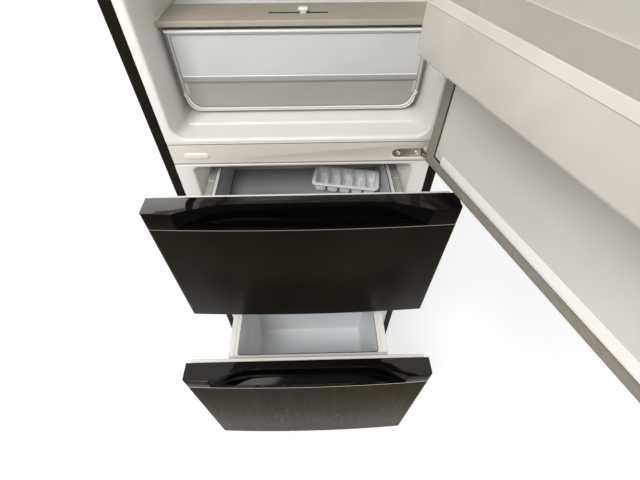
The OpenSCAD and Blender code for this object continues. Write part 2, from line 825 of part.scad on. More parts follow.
// Rear panel of the freezer with the fan guard and return slots
module evaporator_cover() color("#e4e2dc") placed() {
    t = 3;
    difference() {
        mid_box(freezer_half - soft_gap, evap_y, evap_y + t, freezer_step_z + soft_gap,
            freezer_z1 - soft_gap);
        rod_y(0, fan_z, fan_r, evap_y - eps, evap_y + t + eps);
        for (x = [-150 : 60 : 150])
            box(x - 20, x + 20, evap_y - eps, evap_y + t + eps, freezer_step_z + 25, freezer_step_z + 37);
    }
    for (a = [0, 60, 120])
        translate([0, evap_y, fan_z]) rotate([0, a, 0]) box(-fan_r - 1, fan_r + 1, 0, t, -1.5, 1.5);
}

// Fan motor on the freezer's rear wall, with its shaft
module fan_motor() color("#3a3a3c") placed() {
    rod_y(0, fan_z, motor_r, fan_y + 11, freezer_depth);
    rod_y(0, fan_z, shaft_r, fan_y - 5, fan_y + 12);
}

// Bladed rotor of the evaporator fan
module fan_rotor() color("#efeee9") placed() {
    difference() {
        union() {
            rod_y(0, fan_z, hub_r, fan_y - 7, fan_y + 7);
            for (i = [0 : fan_blades - 1])
                translate([0, fan_y, fan_z]) rotate([0, i * 360 / fan_blades, 0])
                    rotate([0, 0, 0]) translate([hub_r - 2, 0, 0]) rotate([38, 0, 0])
                        box(0, fan_r - hub_r - 2, -1, 1, -8, 8);
        }
        rod_y(0, fan_z, shaft_r + run_clear, fan_y - 5.5, fan_y + 7 + eps);
    }
}

// C-shaped slide member: outer half height, depth range and end positions
module channel(x0, x1, half_h, y0, y1) {
    difference() {
        box(x0, x1, y0, y1, -half_h, half_h);
        box(x0 - eps, x1 - slide_t, y0 - eps, y1 + eps, -half_h + slide_t, half_h - slide_t);
    }
}

middle_half_h = slide_h / 2 - slide_t - slide_clear;
tongue_half_h = middle_half_h - slide_t - slide_clear;
channel_x0 = freezer_half - slide_d;
middle_x1 = freezer_half - slide_t - slide_clear;
tongue_x1 = middle_x1 - slide_t - slide_clear;

// Fixed members of the four telescopic slides
module cabinet_slides() color(metal) placed() {
    for (z = [upper_rim - slide_drop, lower_rim - slide_drop])
        both_sides() translate([0, 0, z])
            channel(channel_x0, freezer_half, slide_h / 2, slide_y, slide_y + slide_l);
}

module middle_slides(rim, opened) {
    translate([0, -opened / 2, 0])
        both_sides() translate([0, 0, rim - slide_drop])
            channel(channel_x0 - 2, middle_x1, middle_half_h, slide_y, slide_y + slide_l);
}

module upper_middle_slides() color(metal) placed() {
    middle_slides(upper_rim, upper_open);
}

module lower_middle_slides() color(metal) placed() {
    middle_slides(lower_rim, lower_open);
}

// Domed hermetic compressor with its foot plate and terminal cover
module compressor() color("#1b1b1c") placed() {
    translate([comp_x, comp_y, comp_z]) {
        intersection() {
            cylinder(r = comp_r, h = comp_h, $fn = 96);
            translate([0, 0, comp_h / 2]) sphere(r = comp_r * 1.5, $fn = 96);
        }
        box(comp_r - 6, comp_r + 28, -24, 24, comp_h * 0.35, comp_h * 0.7);
        difference() {
            box(-mount_dx - 13, mount_dx + 13, -mount_dy - 11, mount_dy + 11, -3, 0.5);
            for (sx = [-1, 1])
                for (sy = [-1, 1])
                    translate([sx * mount_dx, sy * mount_dy, -3 - eps])
                        cylinder(r = 4, h = 3 + 3 * eps, $fn = fine);
        }
    }
}

// Rubber grommets under the compressor
module compressor_mounts() color("#242424") placed() {
    for (sx = [-1, 1])
        for (sy = [-1, 1])
            translate([comp_x + sx * mount_dx, comp_y + sy * mount_dy, 0]) {
                rod_z(0, 0, 11, base_top, base_top + mount_h);
                rod_z(0, 0, 3.7, base_top, base_top + mount_h + 8);
            }
}

// Evaporation tray on top of the compressor
module drip_tray() color("#35363a") placed() {
    z0 = comp_z + comp_h;
    difference() {
        box(comp_x - 62, comp_x + 62, comp_y - 60, comp_y + 60, z0, z0 + 26);
        box(comp_x - 60, comp_x + 60, comp_y - 58, comp_y + 58, z0 + 2, z0 + 26 + eps);
    }
}

function unit(v) = v / norm(v);
function run_z(i) = cond_z0 + i * cond_pitch;

// Rounds each right-angled corner of a polyline with an arc of n steps
function rounded(p, r, n) = concat([p[0]],
    [for (i = [1 : len(p) - 2], k = [0 : n])
        let (b = p[i], u = unit(p[i - 1] - b), v = unit(p[i + 1] - b), a = 90 * k / n)
        b + r * (u + v) - r * (v * cos(a) + u * sin(a))],
    [p[len(p) - 1]]);

// Tube of eight sides swept along a path
module tube(path, r) {
    n = len(path);
    sides = 8;
    lean = unit([0.31, 0.52, 0.8]);
    dirs = [for (i = [0 : n - 1]) unit(path[min(i + 1, n - 1)] - path[max(i - 1, 0)])];
    rings = [for (i = [0 : n - 1])
        let (u = unit(cross(dirs[i], lean)), v = cross(dirs[i], u))
        for (k = [0 : sides - 1]) path[i] + r * (u * cos(360 * k / sides) + v * sin(360 * k / sides))];
    walls = [for (i = [0 : n - 2], k = [0 : sides - 1])
        let (a = i * sides + k, b = i * sides + (k + 1) % sides)
        for (f = [[a, a + sides, b], [b, a + sides, b + sides]]) f];
    start_cap = [[for (k = [0 : sides - 1]) k]];
    end_cap = [[for (k = [0 : sides - 1]) n * sides - 1 - k]];
    polyhedron(points = rings, faces = concat(walls, start_cap, end_cap));
}

condenser_z = comp_z + outlet_rise;
return_x = cond_half + 24;

// The tube goes from the compressor to the back, up through the runs, and down one side to the drier
discharge_route = [[comp_x - comp_r - 0.2, comp_y, condenser_z], [-cond_half, comp_y, condenser_z],
    [-cond_half, cond_y, condenser_z], [-cond_half, cond_y, cond_z0 - 40.1]];
run_ends = [for (i = [0 : cond_runs - 1], k = [0, 1])
    [(i + k) % 2 == 0 ? -cond_half : cond_half, cond_y, run_z(i)]];
run_route = concat([[-cond_half, cond_y, cond_z0 - 40]],
    [for (i = [0 : len(run_ends) - 2]) run_ends[i]],
    [[return_x, cond_y, run_z(cond_runs - 1)], [return_x, cond_y, run_z(cond_runs - 1) - 40]]);
return_route = [[return_x, cond_y, run_z(cond_runs - 1) - 40.1], [return_x, cond_y, drier_z + drier_l + 45],
    [return_x, drier_y, drier_z + drier_l + 45], [return_x, drier_y, drier_z + drier_l + 0.1]];

// Route brazed from straight lengths and bends
module brazed(p) {
    leg = cond_bend + 5;
    joint = 0.1;
    last = len(p) - 1;
    for (i = [1 : last - 1]) {
        to_back = unit(p[i - 1] - p[i]);
        to_next = unit(p[i + 1] - p[i]);
        tube(rounded([p[i] + leg * to_back, p[i], p[i] + leg * to_next], cond_bend, 4), cond_r);
    }
    for (i = [0 : last - 1]) {
        run = unit(p[i + 1] - p[i]);
        start = i == 0 ? 0 : leg + joint;
        end = i == last - 1 ? 0 : leg + joint;
        tube([p[i] + start * run, p[i + 1] - end * run], cond_r);
    }
}

// Condenser tube, its wires and the filter drier
module condenser() color("#121212") placed() {
    brazed(discharge_route);
    brazed(return_route);
    tube(rounded(run_route, cond_bend, 4), cond_r);
    for (i = [0 : wires - 1]) {
        x = -cond_half + 24 + i * (2 * cond_half - 48) / (wires - 1);
        rod_z(x, cond_y + cond_r + 0.95, 0.9, cond_z0 - 6, run_z(cond_runs - 1) + 6);
    }
    rod_z(return_x, drier_y, 9, drier_z, drier_z + drier_l);
}

module foot(side) {
    translate([side * foot_x, foot_y, 0]) {
        cylinder(r = foot_r, h = foot_pad, $fn = fine);
        cylinder(r = stud_r, h = cab_bottom + lip_h, $fn = fine);
    }
}

module front_foot_left() color("#222120") placed() foot(-1);
module front_foot_right() color("#222120") placed() foot(1);

module roller(side) {
    difference() {
        rod_x(roller_y, roller_r, roller_r, side * roller_x - roller_w / 2, side * roller_x + roller_w / 2);
        rod_x(roller_y, roller_r, axle_r + run_clear, side * roller_x - roller_w, side * roller_x + roller_w);
    }
}

module roller_left() color("#3b3a38") placed() roller(-1);
module roller_right() color("#3b3a38") placed() roller(1);

// Clear drawer whose front narrows near its rounded foot
module crisper_drawer() color(clear_col, 0.6) placed() {
    y1 = crisper_front + crisper_l;
    box_half = crisper_half - 5;
    front_t2 = 3;
    difference() {
        union() {
            mid_box(crisper_half, crisper_front, crisper_front + front_t2, crisper_z0 + front_step,
                crisper_z1);
            mid_box(box_half, crisper_front, y1, crisper_z0, crisper_z1 - 3);
            mid_box(crisper_half, crisper_front - 4, crisper_front + front_t2, crisper_z1 - 6, crisper_z1);
            mid_box(crisper_half, crisper_front - 3, crisper_front + 1, crisper_z0 + crisper_bar_rise,
                crisper_z0 + crisper_bar_rise + 8);
            both_sides()
                box(box_half - 30, box_half - 18, crisper_front + 12, y1 - 10, runner_z, crisper_z0 + 1);
        }
        mid_box(box_half - crisper_t, crisper_front + front_t2, y1 - crisper_t, crisper_z0 + crisper_t,
            crisper_z1 + eps);
    }
}

// Plan of a front between its rear face and its bowed face, drawn in by inset
module front_plan(inset, back) {
    intersection() {
        translate([-half_w + inset, front_y - bow - eps])
            square([cab_w - 2 * inset, back - front_y + bow + eps]);
        translate([0, front_y - bow + bow_r]) circle(r = bow_r - inset, $fn = arc_fine);
    }
}

// Recess seen from above: full at the front face, straight at the back, slanted at its ends
grip_back = rear_y - grip_ledge;

module grip_area(grow) {
    polygon([[-grip_half - grow, front_y - bow - 2], [grip_half + grow, front_y - bow - 2],
        [grip_half + grow, front_y], [grip_back_half + 28 + grow, grip_back - 5 + grow],
        [grip_back_half + grow, grip_back + grow], [-grip_back_half - grow, grip_back + grow],
        [-grip_back_half - 28 - grow, grip_back - 5 + grow], [-grip_half - grow, front_y]]);
}

module pocket_area(grow) {
    intersection() {
        grip_area(grow);
        translate([0, front_y - bow + bow_r]) circle(r = bow_r - pocket_front + grow, $fn = arc_fine);
    }
}

// Gloss trim with its recess and finger pocket, standing on a seam at height 0
module handle_trim() {
    difference() {
        union() {
            linear_extrude(trim_h) front_plan(0, rear_y);
            translate([0, 0, -pocket_d]) linear_extrude(pocket_d + eps) pocket_area(trim_wall);
        }
        translate([0, 0, trim_wall]) linear_extrude(trim_h) difference() {
            grip_area(0);
            pocket_area(0);
        }
        translate([0, 0, trim_wall - pocket_d]) linear_extrude(trim_h + pocket_d) pocket_area(0);
        translate([0, 0, -eps]) linear_extrude(trim_h - trim_wall + eps) difference() {
            front_plan(trim_wall, rear_y - trim_wall);
            grip_area(trim_wall);
        }
    }
}

// Steel skin of a front, open at the rear and at both ends that end pieces close
module front_skin(h, floor_t) {
    difference() {
        linear_extrude(h) front_plan(0, rear_y);
        translate([0, 0, floor_t > 0 ? floor_t : -eps])
            linear_extrude(h + 2 * eps) front_plan(skin, rear_y + eps);
    }
}

// Foam core of a front from the skin's floor to the seam, with its plug
module drawer_foam(h, plug_z0, plug_z1) {
    difference() {
        union() {
            translate([0, 0, skin]) linear_extrude(h - skin) front_plan(skin, rear_y - inner_t);
            mid_box(rail_x - inner_t, rear_y - inner_t - eps, plug_y - inner_t, plug_z0 + inner_t,
                min(plug_z1 - inner_t, h));
        }
        translate([0, 0, h - pocket_d]) linear_extrude(pocket_d + eps) pocket_area(trim_wall);
    }
}

// Moulded inner panel of a drawer front with its hollow plug
module drawer_inner(h, plug_z0, plug_z1) {
    difference() {
        union() {
            mid_box(half_w - skin, rear_y - inner_t, rear_y, skin, h);
            mid_box(rail_x, rear_y - inner_t / 2, plug_y, plug_z0, min(plug_z1, h));
            mid_box(rail_x, rear_y, plug_y, plug_z0, plug_z1);
        }
        mid_box(rail_x - inner_t, rear_y - inner_t - eps, plug_y - inner_t, plug_z0 + inner_t,
            min(plug_z1 - inner_t, h));
    }
}

module gasket_ring(half, z0, z1, w, y0, y1) {
    difference() {
        mid_box(half, y0, y1, z0, z1);
        mid_box(half - w, y0 - eps, y1 + eps, z0 + w, z1 - w);
    }
}

module drawer_gasket(z0, z1) {
    gasket_ring(drawer_gasket_half, z0, z1, drawer_gasket_w, rear_y, rear_y + bead_base);
    gasket_ring(drawer_gasket_half - bead_inset / 2, z0 + bead_inset / 2, z1 - bead_inset / 2,
        drawer_gasket_w - bead_inset, rear_y + bead_base - eps, -gasket_clear);
}

upper_seam = upper_h - trim_h;
lower_seam = lower_h - trim_h;
upper_plug_z0 = gasket_margin + drawer_gasket_w + 2;
upper_plug_z1 = min(freezer_z1 - 8 - upper_z, upper_h - plug_margin);
lower_plug_z0 = freezer_z0 + 6 - lower_z;
lower_plug_z1 = lower_h - plug_margin;
lower_gasket_z0 = lip_top + 2;

module upper_at() {
    placed() translate([0, -upper_open, 0]) children();
}

module lower_at() {
    placed() translate([0, -lower_open, 0]) children();
}

module upper_front_panel() color(panel_col) upper_at() {
    translate([0, 0, upper_z]) front_skin(upper_seam, skin);
}

module lower_front_panel() color(panel_col) lower_at() {
    translate([0, 0, lower_z]) front_skin(lower_seam, skin);
}

module upper_handle_trim() color(gloss) upper_at() {
    translate([0, 0, upper_z + upper_seam]) handle_trim();
}

module lower_handle_trim() color(gloss) lower_at() {
    translate([0, 0, lower_z + lower_seam]) handle_trim();
}

module upper_front_foam() color(foam_col) upper_at() {
    translate([0, 0, upper_z]) drawer_foam(upper_seam, upper_plug_z0, upper_plug_z1);
}

module lower_front_foam() color(foam_col) lower_at() {
    translate([0, 0, lower_z]) drawer_foam(lower_seam, lower_plug_z0, lower_plug_z1);
}

module upper_inner_panel() color(liner_col) upper_at() {
    translate([0, 0, upper_z]) drawer_inner(upper_seam, upper_plug_z0, upper_plug_z1);
}

module lower_inner_panel() color(liner_col) lower_at() {
    translate([0, 0, lower_z]) drawer_inner(lower_seam, lower_plug_z0, lower_plug_z1);
}

module upper_gasket() color("#f0eee8") upper_at() {
    drawer_gasket(upper_z + gasket_margin, upper_top - gasket_margin);
}

module lower_gasket() color("#f0eee8") lower_at() {
    drawer_gasket(lower_gasket_z0, lower_top - gasket_margin);
}

// Deep basket whose rim lies on the side bars
module upper_basket() color("#c3c6c6") upper_at() {
    half = upper_basket_half;
    y1 = basket_y + basket_l;
    z0 = upper_rim - upper_basket_h;
    difference() {
        union() {
            mid_box(half, basket_y, y1, z0, upper_rim);
            mid_box(rail_x, basket_y, y1, upper_rim, upper_rim + lip_t - 1);
        }
        mid_box(half - basket_t, basket_y + basket_t, y1 - basket_t, z0 + basket_t, upper_rim + lip_t);
    }
}

// Stepped basket: deep at the front, shallow over the machine compartment
module lower_basket() color("#dfe0de") lower_at() {
    half = lower_basket_half;
    y1 = basket_y + basket_l;
    deep_y = basket_y + deep_l;
    z0 = freezer_z0 + lower_basket_rise;
    z_step = freezer_step_z + rear_basket_rise;
    difference() {
        union() {
            mid_box(half, basket_y, deep_y, z0, lower_rim);
            mid_box(half, basket_y, y1, z_step, lower_rim);
            mid_box(lower_bar_x - soft_gap, basket_y, y1, lower_rim - lip_t, lower_rim);
        }
        mid_box(half - basket_t, basket_y + basket_t, deep_y - basket_t, z0 + basket_t, lower_rim + eps);
        mid_box(half - basket_t, basket_y + basket_t, y1 - basket_t, z_step + basket_t, lower_rim + eps);
    }
}

// Side bar with the tongue that runs in the telescopic slide
module drawer_bar(rim, bar_t) {
    z_mid = rim - slide_drop;
    y1 = slide_y + slide_l - 5;
    box(rail_x - bar_t, rail_x, plug_y, y1, rim - bar_h, rim);
    box(rail_x - eps, tongue_x1, slide_y, y1, z_mid - tongue_half_h, z_mid + tongue_half_h);
}

module upper_drawer_rails() color("#efede6") upper_at() {
    both_sides() drawer_bar(upper_rim, upper_bar_t);
}

module lower_drawer_rails() color("#efede6") lower_at() {
    both_sides() {
        drawer_bar(lower_rim, lower_bar_t);
        box(lower_bar_x - bar_ledge, lower_bar_x + eps, plug_y, slide_y + slide_l - 5,
            lower_rim - lip_t - soft_gap - 4, lower_rim - lip_t - soft_gap);
    }
}

// Shallow tray that slides on the upper basket's rim
module sliding_tray() color("#b9bbbb") upper_at() {
    y1 = tray_y + tray_l;
    difference() {
        union() {
            mid_box(tray_half, tray_y, y1, tray_floor - tray_t, tray_rim);
            mid_box(rail_x - 4, tray_y, y1, tray_rim, tray_rim + lip_t);
        }
        mid_box(tray_half - tray_t, tray_y + tray_t, y1 - tray_t, tray_floor, tray_rim + lip_t + eps);
    }
}

// Ice tray lying askew in the sliding tray
module ice_tray() color("#eeefee") upper_at() {
    body_w = ice_w - 11;
    translate([ice_x, ice_y, tray_floor + soft_gap]) rotate([0, 0, ice_turn])
        difference() {
            union() {
                box(-ice_l / 2, ice_l / 2, -ice_w / 2, ice_w / 2, ice_h - 4, ice_h);
                for (i = [0 : ice_cells - 1])
                    translate([(i - (ice_cells - 1) / 2) * ice_pitch, 0, 0])
                        box(-ice_pitch / 2 + 1, ice_pitch / 2 - 1, -body_w / 2, body_w / 2, 0, ice_h - 1);
            }
            for (i = [0 : ice_cells - 1])
                translate([(i - (ice_cells - 1) / 2) * ice_pitch, 0, 0])
                    box(-ice_pitch / 2 + 1 + ice_t, ice_pitch / 2 - 1 - ice_t, -body_w / 2 + ice_t,
                        body_w / 2 - ice_t, ice_t, ice_h + eps);
        }
}

module door_at() {
    placed()
        translate([pin_x, -pin_front, 0]) rotate([0, 0, door_open]) translate([-pin_x, pin_front, 0])
            children();
}

door_seam = door_z + trim_h;
door_cap_z = door_top - cap_h;

// Door skin: bowed steel sheet between handle trim and top cap
module door_panel() color(panel_col) door_at() {
    translate([0, 0, door_seam]) front_skin(door_cap_z - door_seam, 0);
}

module door_foam() color(foam_col) door_at() {
    difference() {
        union() {
            translate([0, 0, door_seam])
                linear_extrude(door_cap_z - door_seam) front_plan(skin, rear_y - inner_t);
            mid_box(plateau_half - inner_t, rear_y - inner_t - eps, plateau_y - inner_t, plateau_z0 + inner_t,
                plateau_z1 - inner_t);
        }
        translate([0, 0, door_seam - eps]) linear_extrude(pocket_d + eps) pocket_area(trim_wall);
    }
}

// Inner door panel with its raised middle
module door_liner() color(liner_col) door_at() {
    difference() {
        union() {
            mid_box(half_w - skin, rear_y - inner_t, rear_y, door_seam, door_cap_z);
            mid_box(plateau_half, rear_y - inner_t / 2, plateau_y, plateau_z0, plateau_z1);
        }
        mid_box(plateau_half - inner_t, rear_y - inner_t - eps, plateau_y - inner_t, plateau_z0 + inner_t,
            plateau_z1 - inner_t);
    }
}

module door_gasket() color(taupe) door_at() {
    gasket_ring(door_gasket_half, door_gasket_z0, door_gasket_z1, door_gasket_w, rear_y, rear_y + bead_base);
    gasket_ring(door_gasket_half - bead_inset, door_gasket_z0 + bead_inset, door_gasket_z1 - bead_inset,
        door_gasket_w - 2 * bead_inset, rear_y + bead_base - eps, -gasket_clear);
}

// Grip trim along the door's bottom edge, with the bush of the middle hinge
module door_handle_trim() color(gloss) door_at() {
    difference() {
        union() {
            translate([0, 0, door_seam]) mirror([0, 0, 1]) handle_trim();
            rod_z(pin_x, -pin_front, pin_r + 5, door_z, door_z + pin_len + 4);
        }
        rod_z(pin_x, -pin_front, pin_r + run_clear, door_z - eps, door_z + pin_len + 1);
    }
}

// Top cap of the door with the bush of the top hinge
module door_top_cap() color(gloss) door_at() {
    difference() {
        union() {
            difference() {
                translate([0, 0, door_cap_z]) linear_extrude(cap_h) front_plan(0, rear_y);
                translate([0, 0, door_cap_z - eps])
                    linear_extrude(cap_h - trim_wall + eps) front_plan(trim_wall, rear_y - trim_wall);
            }
            rod_z(pin_x, -pin_front, pin_r + 5, door_cap_z, door_top);
        }
        rod_z(pin_x, -pin_front, pin_r + run_clear, door_cap_z - eps, door_top + eps);
    }
}

// Open bin hung on the door liner
module door_bin(z) {
    difference() {
        box(bin_x0, bin_x1, plateau_y, plateau_y + bin_d, z, z + bin_h);
        box(bin_x0 + bin_t, bin_x1 - bin_t, plateau_y + bin_t, plateau_y + bin_d - bin_t, z + bin_t,
            z + bin_h + eps);
    }
}

module door_bin_lower() color(clear_col, 0.7) door_at() door_bin(bin_zs[0]);
module door_bin_middle() color(clear_col, 0.7) door_at() door_bin(bin_zs[1]);
module door_bin_upper() color(clear_col, 0.7) door_at() door_bin(bin_zs[2]);

outer_casing();
rear_panel();
base_frame();
insulation_foam();
fridge_liner();
freezer_liner();
centre_rail();
rail_hole_cap();
divider_rail();
middle_hinge_bracket();
top_hinge_bracket();
hinge_screws();
top_hinge_cover();
crisper_cover();
glass_shelves();
air_duct_cover();
control_panel();
evaporator();
evaporator_cover();
fan_motor();
cabinet_slides();
compressor();
compressor_mounts();
drip_tray();
condenser();
front_foot_left();
front_foot_right();
roller_left();
roller_right();
fan_rotor();
temperature_dial();
crisper_drawer();
humidity_slider();
door_panel();
door_foam();
door_liner();
door_gasket();
door_handle_trim();
door_top_cap();
door_bin_lower();
door_bin_middle();
door_bin_upper();
upper_front_panel();
upper_handle_trim();
upper_front_foam();
upper_inner_panel();
upper_gasket();
upper_basket();
upper_drawer_rails();
upper_middle_slides();
sliding_tray();
ice_tray();
lower_front_panel();
lower_handle_trim();
lower_front_foam();
lower_inner_panel();
lower_gasket();
lower_basket();
lower_drawer_rails();
lower_middle_slides();
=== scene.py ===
import json
import math
from collections import namedtuple

import bmesh
import bpy
from mathutils import Matrix, Vector


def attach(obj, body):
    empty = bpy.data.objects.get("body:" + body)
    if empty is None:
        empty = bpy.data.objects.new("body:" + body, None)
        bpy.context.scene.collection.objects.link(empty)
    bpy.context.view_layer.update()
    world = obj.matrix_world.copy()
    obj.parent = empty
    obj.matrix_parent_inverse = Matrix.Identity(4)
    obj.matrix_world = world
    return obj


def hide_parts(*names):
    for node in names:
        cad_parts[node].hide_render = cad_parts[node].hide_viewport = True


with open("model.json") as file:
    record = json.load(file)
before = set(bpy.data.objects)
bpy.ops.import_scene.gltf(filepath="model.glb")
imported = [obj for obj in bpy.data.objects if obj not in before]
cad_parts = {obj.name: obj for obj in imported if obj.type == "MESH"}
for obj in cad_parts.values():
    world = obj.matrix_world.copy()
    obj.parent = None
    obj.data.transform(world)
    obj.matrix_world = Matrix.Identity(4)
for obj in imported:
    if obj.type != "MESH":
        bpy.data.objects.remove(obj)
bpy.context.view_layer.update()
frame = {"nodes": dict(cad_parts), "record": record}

# Pieces are drawn in millimetres with the doors and drawers shut and y = 0 at the cabinet's front flange.
# The frame's origin lies on the floor under the left front foot's pad, in metres.
ORIGIN = Vector((-240.0, 50.0, 0.0))
NODES = frame["nodes"]
BODY_OF = {n: b for b, names in frame["record"]["behaviour"]["bodies"].items() for n in names}
MM = 0.001
UPPER_OPEN = 109.4
LOWER_OPEN = 272.4
DOOR_OPEN = math.radians(107.5)
PIN = Vector((281.0, -35.0, 0.0))
TO_FRAME = Matrix.Scale(MM, 4) @ Matrix.Translation(-ORIGIN)
AT_PIN = TO_FRAME @ Matrix.Translation(PIN)
UPPER_PLACE = TO_FRAME @ Matrix.Translation((0, -UPPER_OPEN, 0))
# Bodies that stand open at rest; the others stand where they are drawn
PLACE = {
    "fridge_door": AT_PIN @ Matrix.Rotation(DOOR_OPEN, 4, "Z") @ Matrix.Translation(-PIN),
    "upper_drawer": UPPER_PLACE,
    "tray": UPPER_PLACE,
    "ice_cube_tray": UPPER_PLACE,
    "lower_drawer": TO_FRAME @ Matrix.Translation((0, -LOWER_OPEN, 0)),
}


# Materials
BUMP_DEPTH = 0.0004
PLASTIC_IOR = 1.46


def link(tree, a, out, b, inp):
    """Joins an output of node a to an input of node b."""
    tree.links.new(a.outputs[out], b.inputs[inp])


def calc(tree, operation, a, b):
    """Math node on two outputs, each given as (node, output)."""
    node = tree.nodes.new("ShaderNodeMath")
    node.operation = operation
    link(tree, *a, node, 0)
    link(tree, *b, node, 1)
    return node


def map_range(tree, source, out, from_min=0.0, from_max=1.0, to_min=0.0, to_max=1.0):
    """Map Range node on one output of another node."""
    node = tree.nodes.new("ShaderNodeMapRange")
    node.inputs["From Min"].default_value = from_min
    node.inputs["From Max"].default_value = from_max
    node.inputs["To Min"].default_value = to_min
    node.inputs["To Max"].default_value = to_max
    link(tree, source, out, node, "Value")
    return node


def noise(tree, coords, scale, detail, stretch):
    """Noise in object space, stretched along the axes."""
    mapping = tree.nodes.new("ShaderNodeMapping")
    mapping.inputs["Scale"].default_value = stretch
    link(tree, coords, "Object", mapping, "Vector")
    tex = tree.nodes.new("ShaderNodeTexNoise")
    tex.inputs["Scale"].default_value = scale
    tex.inputs["Detail"].default_value = detail
    link(tree, mapping, "Vector", tex, "Vector")
    return tex


def material(name, color, rough, spread, scale, rough_spread=0.08, bump=0.0, bump_scale=900.0,
             stretch=(1, 1, 1), metallic=0.0, alpha=1.0, specular=0.5, tint=(1, 1, 1)):
    """Procedural material: a mottled base colour, uneven roughness and a fine bump."""
    m = bpy.data.materials.new(name)
    m.use_nodes = True
    tree = m.node_tree
    shader = tree.nodes["Principled BSDF"]
    coords = tree.nodes.new("ShaderNodeTexCoord")
    tex = noise(tree, coords, scale, 4.0, stretch)
    ramp = tree.nodes.new("ShaderNodeValToRGB")
    for element, position, factor in zip(ramp.color_ramp.elements, (0.3, 0.7), (1 - spread, 1 + spread)):
        element.position = position
        element.color = (*[min(1.0, c * factor) for c in color], 1)
    link(tree, tex, "Fac", ramp, "Fac")
    link(tree, ramp, "Color", shader, "Base Color")
    rough_tex = noise(tree, coords, scale * 0.35, 2.0, stretch)
    uneven = map_range(tree, rough_tex, "Fac", to_min=max(0.0, rough - rough_spread),
                       to_max=min(1.0, rough + rough_spread))
    link(tree, uneven, "Result", shader, "Roughness")
    if bump:
        grain = noise(tree, coords, bump_scale, 2.0, stretch)
        bump_node = tree.nodes.new("ShaderNodeBump")
        bump_node.inputs["Strength"].default_value = bump
        bump_node.inputs["Distance"].default_value = BUMP_DEPTH
        link(tree, grain, "Fac", bump_node, "Height")
        link(tree, bump_node, "Normal", shader, "Normal")
    shader.inputs["Metallic"].default_value = metallic
    shader.inputs["Alpha"].default_value = alpha
    shader.inputs["IOR"].default_value = PLASTIC_IOR
    shader.inputs["Specular IOR Level"].default_value = specular
    shader.inputs["Specular Tint"].default_value = (*tint, 1)
    return m


def moulded(name, color, spread, scale=8):
    """Moulded plastic of the liners and the cross rails, with a faint orange peel."""
    return material(name, color, 0.34, spread, scale, 0.05, bump=0.04, bump_scale=500)


def see_through(name, color, rough, spread, alpha, rough_spread=0.04):
    """Clear or smoked plastic."""
    return material(name, color, rough, spread, 15, rough_spread, alpha=alpha)


def frosted(name, color, rough, spread, alpha):
    """Frosted plastic of the baskets."""
    return material(name, color, rough, spread, 12, 0.06, alpha=alpha, bump=0.05)


